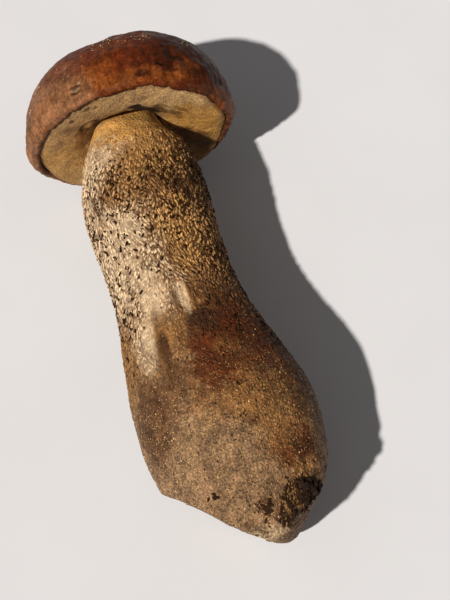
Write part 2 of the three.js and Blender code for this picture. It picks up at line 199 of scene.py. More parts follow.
class BoleteScaberSettings(bpy.types.PropertyGroup):
    """Sizes and colours of the scabers, granules and sand."""

    granule_length: length_property("Granule length", "Length of a pale granule along the stem", 1.55)
    scaber_length: length_property("Scaber length", "Length of a dark scaber along the stem", 1.35)
    grain_size: length_property("Sand grain", "Width of a grain of sand", 0.42)
    black: colour_property("Scaber black", "Dark scabers", (0.022, 0.0095, 0.0045))
    sand: colour_property("Sand", "Pale grains", (0.72, 0.58, 0.38))
    seed: bpy.props.IntProperty(name="Seed", description="Changes how the bits are strewn", default=7, min=0)


class BoleteSoilSettings(bpy.types.PropertyGroup):
    """Colours of the soil and forest bits."""

    humus: colour_property("Humus", "Dark forest soil", (0.022, 0.0105, 0.007))
    fibre: colour_property("Fibre", "Rootlets in the soil", (0.30, 0.175, 0.075))


class BoleteStageSettings(bpy.types.PropertyGroup):
    """The floor, the lights and the camera."""

    lens: bpy.props.FloatProperty(
        name="Lens",
        description="Focal length",
        default=94.64,
        min=1.0,
        subtype="DISTANCE_CAMERA",
        unit="CAMERA",
    )
    key: strength_property("Key light", "Strength of the main light", 4.6)
    fill: strength_property("Fill light", "Strength of the room", 0.17)
    key_colour: colour_property("Key colour", "Low warm sunlight", (1.0, 0.87, 0.67))
    fill_colour: colour_property("Fill colour", "Warm light of the room", (1.0, 0.88, 0.71))
    floor: colour_property("Floor", "The pale floor", (0.61, 0.67, 0.84))


# Smooth curves and soft steps, on whole arrays at once.
def ease(low, high, value):
    """A soft step from 0 at low to 1 at high."""
    share = np.clip((value - low) / (high - low), 0.0, 1.0)
    return share * share * (3.0 - 2.0 * share)


def along(stations, values, place):
    """A smooth curve through the values at the stations, read at each place."""
    stations = np.asarray(stations, float)
    values = np.asarray(values, float)
    if stations[0] > stations[-1]:
        stations, values = stations[::-1], values[::-1]
    last = len(stations) - 1
    before = np.maximum(np.arange(last + 1) - 1, 0)
    after = np.minimum(np.arange(last + 1) + 1, last)
    slope = (values[after] - values[before]) / (stations[after] - stations[before])
    i = np.clip(np.searchsorted(stations, place, side="right") - 1, 0, last - 1)
    span = stations[i + 1] - stations[i]
    t = (place - stations[i]) / span
    start = (1 + 2 * t) * (1 - t) ** 2 * values[i] + t * (1 - t) ** 2 * span * slope[i]
    return start + t * t * (3 - 2 * t) * values[i + 1] + t * t * (t - 1) * span * slope[i + 1]


def unit(vectors):
    return vectors / np.linalg.norm(vectors, axis=-1, keepdims=True)


def press(points, facing, distance, edge):
    """Presses points back behind a plane, with a soft edge."""
    facing = unit(np.asarray(facing, float))
    over = points @ facing - distance
    push = 0.5 * (over + np.sqrt(over * over + edge * edge))
    return points - push[..., None] * facing


def each(function, points, size):
    """Reads Blender's own noise at every point, for features of the given size."""
    return np.array([function(Vector(p)) for p in (points / size).tolist()])


def soft_noise(points, size, octaves=3):
    """Smooth noise from about -1 to 1 with features of the given size."""
    return each(lambda p: noise.fractal(p, 1.0, 2.1, octaves), points, size)


def cell_noise(points, size):
    """Distance to the nearest and next cell middles, and a fixed chance for each cell."""
    def read(p):
        distances, places = noise.voronoi(p)
        return distances[0], distances[1], noise.cell(places[0] * 7.31)

    found = each(read, points, size)
    return found[:, 0], found[:, 1], found[:, 2]


# The shape of the bolete, by the same rules as its solids.
def rim_lift(angle):
    """How far the wavy rim is raised towards the crown."""
    return along(RIM_ANGLES, RIM_LIFTS, np.degrees(angle) % 360.0)


def cap_outline(angle):
    """The cap isn't quite round: its radius at each angle, as a share."""
    return 1 + 0.02 * np.cos(2 * (angle - 0.75)) - 0.018 * np.cos(3 * (angle + 0.48))


def cap_wrinkle(angle, height):
    """Broad shallow folds of the skin, deeper near the rim."""
    lower = 1 - ease(4, 22, height)
    return (0.18 + 0.3 * lower) * np.sin(7 * angle + 0.35 * height) * np.sin(3 * angle - 0.21 * height + 1)


def in_cap_frame(side, rise, height):
    across = side[..., None] * CAP_SIDE + rise[..., None] * CAP_RISE
    return CAP_MIDDLE + across + height[..., None] * CAP_AXIS


def cap_skin_point(radius, angle, height):
    """A point of the cap's skin, by its radius, its angle and its height above the rim."""
    lift = np.clip((height - WIDEST_HEIGHT) / (CAP_HEIGHT - WIDEST_HEIGHT), 0, 1)
    r = radius * cap_outline(angle) + cap_wrinkle(angle, height) * ease(0, 12, radius)
    side = r * np.cos(angle) + CROWN_SHIFT[0] * lift**2
    rise = r * np.sin(angle) + CROWN_SHIFT[1] * lift**2
    local = np.stack([side, rise, height], axis=-1)
    for facing, distance, edge in CAP_FLATS:
        local = press(local, facing, distance, edge)
    point = in_cap_frame(local[..., 0], local[..., 1], local[..., 2])
    point[..., 2] = np.maximum(point[..., 2], 0.0)
    return point


def recess_point(radius, angle, height):
    """A point under the cap: it follows the cap's outline at the rim and the stem at the middle."""
    r = radius * (1 + (cap_outline(angle) - 1) * ease(17, 24, radius))
    y = CAP_MIDDLE[1] + height
    axis = CAP_MIDDLE + height[..., None] * CAP_AXIS
    offset = stem_line(y) - axis
    offset[..., 1] = 0.0
    point = in_cap_frame(r * np.cos(angle), r * np.sin(angle), height)
    return point + offset * (1 - ease(11, 20, radius))[..., None]


def socket_radius(height):
    return along(STEM_Y, STEM_R, CAP_MIDDLE[1] + height) + CLEARANCE


def stem_line(y):
    return np.stack([along(STEM_Y, STEM_X, y), y, along(STEM_Y, STEM_Z, y)], axis=-1)


def tear(points):
    """Presses the two torn faces into the rounded end; the larger one is wavy."""
    for facing, place, edge, wave in TORN_FACES:
        facing = unit(np.asarray(facing, float))
        phase = 2 * math.pi * (points[..., 0] - TORN_WAVE_START) / TORN_WAVELENGTH
        swell = wave * (0.1 + np.sin(phase))
        points = press(points, facing, np.dot(place, facing) + swell, edge)
    return points


def walked(point, share, corners):
    """Moves each point on through corners (share, points), as far as its share of the way."""
    for (start, from_point), (end, to_point) in zip(corners, corners[1:]):
        part = np.clip((share - start) / (end - start), 0, 1)[:, None]
        point = np.where((share > start)[:, None], from_point + part * (to_point - from_point), point)
    return point


def stem_point(place, angle, grow=0.0):
    """A point of the stem's skin: place runs along Y, and past BASE_Y it runs round the end."""
    y = np.clip(place, BASE_Y, STEM_Y[0])
    turn = np.clip((BASE_Y - place) / END_SPAN, 0.0, 1.0) * math.pi / 2
    step = 0.5
    direction = unit(stem_line(np.minimum(y + step, STEM_Y[0])) - stem_line(np.maximum(y - step, BASE_Y)))
    side = unit(np.cross(direction, [0.0, 0.0, 1.0]))
    rise = np.cross(side, direction)
    centre = stem_line(y)
    centre[..., 1] -= BASE_LENGTH * np.sin(turn)
    centre[..., 0] += BASE_SHIFT * np.sin(turn) ** 2
    radius = along(STEM_Y, STEM_R, y) * np.sqrt(np.maximum(np.cos(turn), 0.0))
    out = np.cos(angle)[..., None] * side + np.sin(angle)[..., None] * rise
    point = tear(centre + radius[..., None] * out)
    point = point + np.asarray(grow)[..., None] * out
    point[..., 2] = np.maximum(point[..., 2], 0.0)
    return point


def scaber_share(place, height):
    """How far the scabers are raised: fully on the neck, less on the base, not where it lies."""
    below_cap = 1 - ease(50, 58, place)
    on_bulb = 0.45 + 0.55 * ease(-25, 12, place)
    return below_cap * on_bulb * ease(0.6, 3, height)


# Paint: strokes of a colour laid over a ground; a later stroke covers an earlier one.
def turned_from(angle, degrees):
    """How far each angle is turned from the given one, at most half a turn either way."""
    return (angle - math.radians(degrees) + math.pi) % (2 * math.pi) - math.pi


def reach_from(place, angle, radius, spot):
    """Squared distance from a spot (place, angle, half length, half width): 1 at its edge."""
    at, turn, half_length, half_width = spot
    across = turned_from(angle, turn) * radius
    return (across / half_width) ** 2 + ((place - at) / half_length) ** 2


def covered(place, angle, radius, stroke, waver, core=0.3):
    """How much a stroke covers each point: fully in its core, and less towards its wavering edge."""
    return 1 - ease(core, 1.3, reach_from(place, angle, radius, stroke) + waver)


def painted(ground, place, angle, radius, strokes, palette, waver):
    """Lays strokes (place, angle, half length, half width, colour name, strength) over the ground."""
    paint = ground.copy()
    for *stroke, name, strength in strokes:
        share = strength * covered(place, angle, radius, stroke, waver)
        paint += share[:, None] * (palette[name] - paint)
    return paint


def colours(settings):
    """The colours of a settings group, by name."""
    values = {name: getattr(settings, name) for name in settings.__annotations__}
    return {name: np.array(value[:]) for name, value in values.items() if hasattr(value, "__len__")}


# Meshes: a grid bent into a skin, and small shapes copied many times.
def deselect_all():
    if bpy.context.object and bpy.context.object.mode != "OBJECT":
        bpy.ops.object.mode_set(mode="OBJECT")
    bpy.ops.object.select_all(action="DESELECT")


def coordinates(piece):
    flat = np.empty(len(piece.data.vertices) * 3)
    piece.data.vertices.foreach_get("co", flat)
    return flat.reshape(-1, 3)


def set_coordinates(piece, points):
    """Places the vertices at points given in the bolete's millimetres."""
    piece.data.vertices.foreach_set("co", ((points + CENTRING) * MM).ravel())
    piece.data.update()


def store(piece, name, values):
    """Keeps one number or one colour for each vertex."""
    values = np.asarray(values, float)
    if values.ndim == 1:
        layer = piece.data.attributes.new(name, "FLOAT", "POINT")
        layer.data.foreach_set("value", values)
    else:
        layer = piece.data.attributes.new(name, "FLOAT_COLOR", "POINT")
        layer.data.foreach_set("color", np.hstack([values, np.ones((len(values), 1))]).ravel())


def bent_grid(name, rows, around, bend):
    """A grid bent by bend(row share, turn share) and closed: its seam and poles are welded."""
    deselect_all()
    bpy.ops.mesh.primitive_grid_add(x_subdivisions=around, y_subdivisions=rows, size=1.0)
    piece = bpy.context.active_object
    piece.name = name
    piece.data.name = name
    flat = coordinates(piece)
    turn = np.round((flat[:, 0] + 0.5) * around) / around
    row = np.round((flat[:, 1] + 0.5) * rows) / rows
    set_coordinates(piece, bend(row, turn, piece))
    bpy.ops.object.mode_set(mode="EDIT")
    bpy.ops.mesh.select_all(action="SELECT")
    bpy.ops.mesh.remove_doubles(threshold=0.002 * MM)
    bpy.ops.mesh.normals_make_consistent(inside=False)
    bpy.ops.object.mode_set(mode="OBJECT")
    bpy.ops.object.shade_smooth()
    return piece


def template(primitive, flatten, point=0.0, **settings):
    """A small shape made once: a primitive, flattened and drawn to a point along Y."""
    deselect_all()
    primitive(radius=0.5, **settings)
    piece = bpy.context.active_object
    bpy.ops.object.mode_set(mode="EDIT")
    bpy.ops.mesh.select_all(action="SELECT")
    bpy.ops.transform.resize(value=(1.0, 1.0, flatten))
    bpy.ops.object.mode_set(mode="OBJECT")
    points = coordinates(piece)
    points[:, 0] *= 1.0 - point * points[:, 1]
    piece.data.calc_loop_triangles()
    faces = np.array([t.vertices[:] for t in piece.data.loop_triangles])
    bpy.data.objects.remove(piece, do_unlink=True)
    return points, faces


def strewn(name, shape, places, ups, ways, sizes, smooth=True):
    """Copies of one small shape: each stands along its up, turned to its way, in its own size."""
    points, faces = shape
    ups = unit(ups)
    rights = unit(np.cross(ways, ups))
    forwards = np.cross(ups, rights)
    frames = np.stack([rights, forwards, ups], axis=1) * sizes[:, :, None]
    placed = np.einsum("pk,nkx->npx", points, frames) + places[:, None, :]
    offsets = np.arange(len(places))[:, None, None] * len(points)
    vertices = ((placed + CENTRING) * MM).reshape(-1, 3)
    mesh = bpy.data.meshes.new(name)
    mesh.from_pydata(vertices.tolist(), [], (faces + offsets).reshape(-1, 3).tolist())
    mesh.update()
    piece = bpy.data.objects.new(name, mesh)
    bpy.context.scene.collection.objects.link(piece)
    if smooth:
        mesh.shade_smooth()
    return piece


def per_copy(values, shape):
    """Repeats one value for every vertex of a copy."""
    return np.repeat(values, len(shape[0]), axis=0)


def finished(piece, material, slot, *nodes):
    """Gives a piece its material and the body it rides on, and hides the given nodes of model.glb. The slot
    is not used.
    """
    piece.data.materials.clear()
    piece.data.materials.append(material)
    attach(piece, BODY)
    if nodes:
        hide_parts(*nodes)
    return piece


# Materials: one builder that adds nodes, then a function for each finish.
class Finish:
    """Builds one material: each method adds a node and gives back its output."""

    def __init__(self, name, roughness, specular=0.4):
        self.material = bpy.data.materials.new(name)
        self.material.use_nodes = True
        self.tree = self.material.node_tree
        self.shader = self.tree.nodes["Principled BSDF"]
        self.shader.inputs["Roughness"].default_value = roughness
        self.shader.inputs["Specular IOR Level"].default_value = specular

    def put(self, socket, value):
        """Links an output to a socket, or sets the socket to a value."""
        if isinstance(value, bpy.types.NodeSocket):
            self.tree.links.new(value, socket)
        else:
            socket.default_value = value

    def node(self, kind, **settings):
        made = self.tree.nodes.new(kind)
        for name, value in settings.items():
            setattr(made, name, value)
        return made

    def places(self, stretch=(1.0, 1.0, 1.0)):
        """Object coordinates in millimetres, stretched along each axis."""
        mapping = self.node("ShaderNodeMapping", vector_type="POINT")
        mapping.inputs["Scale"].default_value = tuple(s / MM for s in stretch)
        self.put(mapping.inputs["Vector"], self.node("ShaderNodeTexCoord").outputs["Object"])
        return mapping.outputs["Vector"]

    def unrolled(self, around, length):
        """The piece's own UV map as millimetres around and along."""
        mapping = self.node("ShaderNodeMapping", vector_type="POINT")
        mapping.inputs["Scale"].default_value = (around, length, 1.0)
        self.put(mapping.inputs["Vector"], self.node("ShaderNodeTexCoord").outputs["UV"])
        return mapping.outputs["Vector"]

    def noise(self, places, size, detail=4.0, rough=0.55, distortion=0.0):
        made = self.node("ShaderNodeTexNoise")
        self.put(made.inputs["Vector"], places)
        made.inputs["Scale"].default_value = 1.0 / size
        made.inputs["Detail"].default_value = detail
        made.inputs["Roughness"].default_value = rough
        made.inputs["Distortion"].default_value = distortion
        return made.outputs["Fac"]

    def cells(self, places, size, feature="F1"):
        made = self.node("ShaderNodeTexVoronoi", feature=feature)
        self.put(made.inputs["Vector"], places)
        made.inputs["Scale"].default_value = 1.0 / size
        return made

    def kept(self, name, output="Fac"):
        """Reads what store() kept for each vertex."""
        made = self.node("ShaderNodeAttribute", attribute_type="GEOMETRY", attribute_name=name)
        return made.outputs[output]

    def paint(self):
        return self.kept("paint", "Color")

    def cell_chance(self, cell):
        """One fixed chance for each cell, read from its colour."""
        split = self.node("ShaderNodeSeparateColor")
        self.put(split.inputs[0], cell.outputs["Color"])
        return split.outputs[0]

    def step(self, value, low, high, least=0.0, most=1.0):
        """A soft step from least at low to most at high."""
        made = self.node("ShaderNodeMapRange", interpolation_type="SMOOTHSTEP", clamp=True)
        self.put(made.inputs["Value"], value)
        made.inputs["From Min"].default_value = low
        made.inputs["From Max"].default_value = high
        made.inputs["To Min"].default_value = least
        made.inputs["To Max"].default_value = most
        return made.outputs["Result"]

    def arithmetic(self, operation, a, b):
        made = self.node("ShaderNodeMath", operation=operation)
        self.put(made.inputs[0], a)
        self.put(made.inputs[1], b)
        return made.outputs[0]

    def times(self, a, b):
        return self.arithmetic("MULTIPLY", a, b)

    def less(self, a, b):
        """1 where a is less than b, and 0 elsewhere."""
        return self.arithmetic("LESS_THAN", a, b)

    def blend(self, share, a, b):
        made = self.node("ShaderNodeMix", data_type="RGBA", blend_type="MIX", clamp_factor=True)
        self.put(made.inputs[0], share)
        self.put(made.inputs[6], a)
        self.put(made.inputs[7], b)
        return made.outputs[2]

    def shade(self, colour, value, low, high):
        """Scales a colour from low to high by a value around a half, such as noise."""
        factor = self.step(value, 0.33, 0.67, low, high)
        made = self.node("ShaderNodeVectorMath", operation="SCALE")
        self.put(made.inputs[0], colour if isinstance(colour, bpy.types.NodeSocket) else colour[:3])
        self.put(made.inputs["Scale"], factor)
        return made.outputs[0]

    def bump(self, height, distance, strength=1.0, below=None):
        made = self.node("ShaderNodeBump")
        made.inputs["Strength"].default_value = strength
        made.inputs["Distance"].default_value = distance * MM
        self.put(made.inputs["Height"], height)
        if below is not None:
            self.put(made.inputs["Normal"], below)
        return made.outputs["Normal"]

    def done(self, colour, normal=None, roughness=None):
        self.put(self.shader.inputs["Base Color"], colour)
        if normal is not None:
            self.put(self.shader.inputs["Normal"], normal)
        if roughness is not None:
            self.put(self.shader.inputs["Roughness"], roughness)
        return self.material


def rgba(colour):
    return (*colour, 1.0)


def cap_skin_material(settings):
    """Moist, mottled skin with fine radial fibres, dark specks and a soft gloss."""
    f = Finish("cap_skin", 0.6, 0.08)
    places = f.places()
    colour = f.paint()
    blotch = f.noise(places, 6.5, 5.0, 0.6, 0.6)
    colour = f.shade(colour, blotch, 0.76, 1.25)
    colour = f.shade(colour, f.noise(places, 2.0, 4.0, 0.6, 0.4), 0.74, 1.26)
    streak = f.noise(f.unrolled(230.0, 9.0), 1.0, 3.0, 0.6, 0.3)
    colour = f.shade(colour, streak, 0.80, 1.22)
    grain = f.noise(places, 0.75, 4.0, 0.65)
    colour = f.shade(colour, grain, 0.72, 1.30)
    speck = f.step(f.cells(places, 1.7).outputs["Distance"], 0.10, 0.19, 1.0, 0.0)
    chance = f.step(f.noise(places, 4.0, 2.0), 0.54, 0.62)
    colour = f.blend(f.times(f.times(speck, chance), 0.65), colour, rgba(settings.dark))
    low = f.bump(f.noise(places, 2.4, 3.0, 0.5, 0.4), 0.35, 0.6)
    fine = f.bump(grain, 0.12, 0.7, low)
    fibres = f.bump(streak, 0.12, 0.5, fine)
    rough = f.step(f.noise(places, 3.0, 3.0), 0.3, 0.7, 0.42, 0.62)
    return f.done(colour, fibres, rough)


def pore_material(settings):
    """Matte tubes seen end on: small mouths darkened with painted shade, in a soft, blotched face."""
    f = Finish("pore_face", 0.8, 0.25)
    places = f.places()
    colour = f.paint()
    colour = f.shade(colour, f.noise(places, 4.5, 5.0, 0.62, 0.3), 0.80, 1.18)
    # Painted shade: the pore mouths are darkened for the shade inside the tubes.
    mouths = f.cells(places, settings.pore_size / MM).outputs["Distance"]
    mouth = f.step(mouths, 0.18, 0.62)
    colour = f.shade(colour, mouth, 0.70, 1.14)
    colour = f.shade(colour, f.noise(places, 0.9, 3.0, 0.6), 0.88, 1.12)
    deep = f.bump(mouth, 0.22, 0.7)
    return f.done(colour, f.bump(f.noise(places, 1.6, 3.0), 0.25, 0.5, deep))


def stem_material(settings):
    """Fibrous flesh: painted ground, dark lines between fine granules, dots, and sand on the base with
    painted glints.
    """
    f = Finish("stem_flesh", 0.78, 0.18)
    places = f.places()
    long_places = f.places((1.0, 0.62, 1.0))
    colour = f.paint()
    net = f.kept("net")
    gap = f.kept("gap")
    dots = f.kept("dots")
    sand = f.kept("sand")
    colour = f.shade(colour, f.noise(places, 5.0, 5.0, 0.62, 0.4), 0.74, 1.28)
    fibre = f.noise(f.places((1.0, 0.16, 1.0)), 0.75, 4.0, 0.6, 0.2)
    colour = f.shade(colour, fibre, 0.86, 1.14)
    gap = f.times(gap, f.step(f.noise(places, 2.2, 3.0, 0.6), 0.30, 0.60, 0.35, 1.0))
    colour = f.blend(gap, colour, rgba(settings.umber))
    crack = f.cells(long_places, 0.92, "DISTANCE_TO_EDGE").outputs["Distance"]
    line = f.step(crack, 0.03, 0.20, 1.0, 0.0)
    line = f.times(line, f.step(f.noise(places, 1.6, 3.0), 0.38, 0.58))
    colour = f.blend(f.times(line, net), colour, rgba(settings.umber))
    cell = f.cells(long_places, 0.80)
    shown = f.less(f.cell_chance(cell), dots)
    dot = f.times(f.step(cell.outputs["Distance"], 0.28, 0.46, 1.0, 0.0), shown)
    colour = f.blend(f.times(dot, 0.92), colour, rgba(settings.bark))
    grit = f.noise(places, 0.70, 4.0, 0.75)
    coarse = f.shade(colour, f.noise(places, 1.9, 4.0, 0.7, 0.5), 0.70, 1.34)
    colour = f.blend(sand, f.shade(colour, grit, 0.80, 1.22), f.shade(coarse, grit, 0.46, 1.66))
    # Painted glints, partly: the bright golden specks on the sandy base are pale grains and also painted
    # glints of light on them.
    grain = f.cells(places, 0.55)
    lit = f.less(f.cell_chance(grain), f.times(sand, 0.28))
    grain_and_glint = f.times(f.step(grain.outputs["Distance"], 0.22, 0.40, 1.0, 0.0), lit)
    colour = f.blend(f.times(grain_and_glint, 0.65), colour, (0.68, 0.47, 0.23, 1.0))
    normal = f.bump(f.step(crack, 0.0, 0.30), 0.30, 0.55)
    normal = f.bump(fibre, 0.14, 0.5, normal)
    normal = f.bump(grit, 0.14, 0.8, normal)
    normal = f.bump(grain_and_glint, 0.18, 0.8, normal)
    return f.done(colour, normal, f.step(f.noise(places, 2.5, 2.0), 0.3, 0.7, 0.62, 0.88))


def granule_material(name, roughness, specular=0.2):
    """Granules, scabers and grains: each copy's own colour with fine grit."""
    f = Finish(name, roughness, specular)
    places = f.places()
    grit = f.noise(places, 0.35, 3.0, 0.65)
    colour = f.shade(f.paint(), grit, 0.78, 1.22)
    return f.done(colour, f.bump(grit, 0.08, 0.6))


def soil_material(settings):
    """Crumbly humus with paler mineral specks."""
    f = Finish("soil", 0.95, 0.2)
    places = f.places()
    clump = f.noise(places, 1.1, 5.0, 0.7, 0.5)
    colour = f.shade(rgba(settings.humus), clump, 0.45, 1.7)
    speck = f.step(f.cells(places, 0.7).outputs["Distance"], 0.12, 0.22, 1.0, 0.0)
    shown = f.step(f.noise(places, 1.5, 2.0), 0.55, 0.63)
    colour = f.blend(f.times(f.times(speck, shown), 0.7), colour, rgba(settings.fibre))
    return f.done(colour, f.bump(clump, 0.6, 1.0))


def floor_material(settings):
    """Plain pale paper."""
    f = Finish("floor", 0.9, 0.1)
    grain = f.noise(f.places(), 40.0, 2.0)
    return f.done(f.shade(rgba(settings.floor), grain, 0.99, 1.01))


# Listed strokes. Cap: height above the rim, angle, half height, half width, colour, strength.
CAP_STROKES = (
    (14, 100, 13, 26, "maroon", 0.55),
    (11, 35, 15, 24, "olive", 0.95),
    (3.2, 90, 3, 11, "orange", 0.75),
    (4.5, 108, 4, 5, "orange", 0.6),
    (9, 108, 5, 8, "orange", 0.45),
    (3, 66, 3, 6, "orange", 0.55),
    (5.5, 55, 4, 4, "orange", 0.35),
    # Painted sheen, partly: the pink strokes on the left, from 118 to 190 degrees, stand for the moist gloss
    # there as well as the skin's pinkish colour.
    (7, 148, 14, 19, "pink", 0.9),
    (1, 122, 4, 8, "pink", 0.75),
    (2, 190, 10, 16, "pink", 0.9),
    (13, 132, 5, 9, "pink", 0.3),
    (15, 130, 5, 9, "maroon", 0.5),
    (5, 118, 4, 7, "pink", 0.45),
    (12, 112, 3, 6, "maroon", 0.4),
    (16, 96, 3, 7, "orange", 0.25),
    (7, 84, 1.6, 2.2, "dark", 0.55),
    (6.8, 70, 1.8, 2.6, "dark", 0.65),
    (9.4, 62, 2.6, 3.4, "dark", 0.55),
    (3.3, 82, 1.3, 2.6, "dark", 0.8),
    # Painted shade: the dark strokes at 50 and 65 degrees darken the creases of the skin.
    (3.8, 50, 2.2, 4, "dark", 0.55),
    (8.5, 90, 1.5, 1.8, "dark", 0.35),
    (4.8, 65, 1.3, 2.8, "dark", 0.8),
    # Painted highlights: the orange strokes at 61 and 60 degrees light the ridges beside the creases.
    (2.8, 61, 1, 2.2, "orange", 0.8),
    (5.2, 60, 1, 1.6, "orange", 0.6),
    (3.4, 119, 0.9, 2, "dark", 0.85),
    (5.2, 119, 0.6, 2.2, "dark", 0.6),
    (4.3, 118, 0.5, 1.3, "flake", 0.9),
    (5.9, 116, 0.35, 0.8, "flake", 1),
    (-0.5, 22, 4.5, 9, "orange", 0.7),
    (-0.5, 300, 4, 60, "pink", 0.4),
    (-0.6, 100, 0.7, 60, "dark", 0.35),
)
# Pore face: radius, angle, half width across the ring, half length around, colour, strength.
PORE_STROKES = (
    (21, 100, 8, 22, "grey", 0.75),
    (22.5, 48, 6.5, 12, "cream", 1),
    (20, 15, 9, 13, "gold", 0.95),
    (22, 330, 9, 20, "gold", 0.8),
    # Painted shadow: the two strokes at 318 and 341 degrees are the stem's cast shadow across the pores, laid
    # in the bruise colour.
    (20, 318, 9, 15, "bruise_and_shadow", 0.8),
    (19, 341, 7, 7, "bruise_and_shadow", 0.75),
    (21, 190, 9, 22, "gold", 0.7),
    (24, 152, 5, 9, "grey", 0.55),
    (16.5, 138, 3.6, 5.6, "bruise_and_shadow", 0.62),
    (21, 143, 3.2, 3.6, "bruise_and_shadow", 0.42),
    (24.6, 134, 0.7, 0.9, "bruise_and_shadow", 0.9),
    (25.4, 119, 0.5, 1.5, "bruise_and_shadow", 0.85),
    (24.6, 114, 0.6, 0.8, "bruise_and_shadow", 0.7),
    (26.4, 99, 0.5, 1.3, "bruise_and_shadow", 0.6),
    (15, 62, 3.6, 6, "bruise_and_shadow", 0.72),
    (19.3, 63, 1, 3, "bruise_and_shadow", 0.62),
    (17, 38, 1.4, 5, "bruise_and_shadow", 0.6),
    (20, 40, 0.8, 3.4, "bruise_and_shadow", 0.5),
    (14.5, 70, 3, 5, "bruise_and_shadow", 0.85),
    # Painted shade: these strokes darken the crack beside the stem, where shade falls, and run into the
    # stem's painted shadow.
    (19.4, 86, 1, 2.4, "crevice_shade", 1),
    (17.8, 80, 1.4, 3, "crevice_shade", 1),
    (15.8, 72, 2.2, 3.6, "crevice_shade", 1),
    (13.2, 64, 2.6, 4, "crevice_shade", 1),
    (11.6, 52, 1.6, 3.6, "crevice_shade", 1),
    (17.5, 66, 1.2, 4, "bruise_and_shadow", 0.6),
    (26.8, 180, 0.7, 80, "bruise_and_shadow", 0.45),
)
# Stem ground by place along Y: each is the colour that rules there.
STEM_GROUND = (
    (73, "straw"), (56, "straw"), (49, "tan"), (38, "tan"), (26, "tan"), (12, "tan"), (2, "tan"),
    (-10, "tan"), (-24, "grey"), (-40, "grey"), (-82, "grey"),
)
# Stem: place along Y, angle, half length, half width, colour, strength.
STEM_STROKES = (
    (57, 95, 6, 13, "straw", 0.9),
    (46, 148, 12, 14, "cream", 0.8),
    (36, 168, 16, 12, "cream", 0.7),
    (44, 84, 6, 12, "tan", 0.5),
    (34, 118, 6, 9, "umber", 0.32),
    (34, 139, 4.5, 5, "umber", 0.75),
    (31, 100, 3.5, 7, "umber", 0.25),
    (39, 79, 6.5, 6.5, "bark", 0.45),
    # Painted shade, partly: the bark and umber strokes from 20 to 45 degrees darken the right side, turned
    # from the light, as well as its dark scabers.
    (34, 45, 8, 7.5, "bark", 0.7),
    (38, 58, 7, 8, "umber", 0.3),
    (37, 20, 10, 10, "bark", 0.45),
    (48, 34, 8, 8, "umber", 0.4),
    (44, 66, 8, 10, "straw", 0.55),
    (22, 32, 14, 9, "straw", 0.42),
    (24, 112, 10, 13, "cream", 0.45),
    (24, 76, 9, 9, "straw", 0.7),
    (14, 64, 9, 8, "straw", 0.55),
    (18, 144, 18, 15, "cream", 0.95),
    (6, 110, 9, 8, "cream", 0.5),
    (38, 108, 8, 8, "straw", 0.45),
    (-2, 134, 9, 8, "cream", 0.5),
    (-9, 135, 9, 4.2, "cream", 0.6),
    (-1, 106, 6, 3.5, "cream", 0.35),
    (2, 30, 16, 10, "straw", 0.32),
    (6, 34, 14, 8, "rust", 0.35),
    (0, 60, 9, 7, "umber", 0.5),
    (-34, 64, 15, 15, "ochre", 0.85),
    (-48, 58, 9, 12, "ochre", 0.7),
    (-31, 96, 11, 10, "ochre", 0.6),
    (-30, 64, 6, 8, "umber", 0.25),
    (-7, 62, 7, 9, "rust", 0.95),
    (-16, 82, 10, 9.5, "rust", 1),
    (-9, 80, 5, 7, "bark", 0.8),
    (-19, 92, 9, 5, "rust", 0.9),
    (-24, 90, 8, 7.5, "rust", 1),
    (-20, 62, 9, 12, "rust", 0.4),
    (-18, 73, 4, 5, "ochre", 0.55),
    (-15, 50, 11, 11, "rust", 0.85),
    (-2, 62, 5, 6, "umber", 0.7),
    (-23, 70, 7, 8, "umber", 0.55),
    (-31, 96, 6, 5, "umber", 0.3),
    (-8, 106, 7, 3.2, "tan", 0.5),
    (-11, 119, 10, 2.1, "umber", 0.9),
    (-13, 118, 5.5, 1.5, "bark", 0.75),
    (-5, 113, 3, 1.6, "umber", 0.5),
    (-20, 117, 5, 2.6, "umber", 0.5),
    (-18, 122, 7, 3, "umber", 0.5),
    (0, 92, 5.2, 1.7, "cream", 0.7),
    (0, 99, 5, 0.8, "umber", 0.7),
    (-1, 84, 5.5, 0.9, "umber", 0.7),
    (-20, 44, 13, 12, "rust", 0.5),
    (-26, 34, 13, 11, "rust", 0.6),
    # Painted shade, partly: the bark and umber strokes from 4 to 42 degrees darken the right side of the
    # base, turned from the light, as well as its own dark flesh.
    (-20, 28, 12, 8, "bark", 0.2),
    (-24, 22, 18, 8, "bark", 0.35),
    (-38, 28, 10, 9, "umber", 0.4),
    (-20, 4, 44, 10, "umber", 0.6),
    (-33, 42, 8, 6, "umber", 0.6),
    (-32, 152, 14, 9, "bark", 0.6),
    (-30, 146, 13, 9, "umber", 0.6),
    (-27, 128, 7, 8, "umber", 0.5),
    (-24, 112, 8, 8, "umber", 0.35),
    (-46, 118, 9, 16, "grey", 0.7),
    (-42, 84, 1.4, 2.4, "umber", 0.75),
    (-50, 58, 6.5, 8, "rust", 0.95),
    (-50, 57, 3.5, 4.5, "bark", 0.3),
    (-58, 48, 4.5, 9, "tan", 0.75),
    (-40, 50, 5, 4, "umber", 0.4),
    (-45, 66, 7, 7, "tan", 0.5),
    (-56, 118, 7, 16, "grey", 0.5),
    (-62, 92, 2.4, 2.2, "umber", 0.8),
    (-62.5, 91, 1.2, 1, "bark", 0.9),
    (-65, 82, 3, 3, "umber", 0.55),
    (-61, 70, 4, 4.5, "umber", 0.55),
    (-70, 100, 4, 12, "cream", 0.3),
)
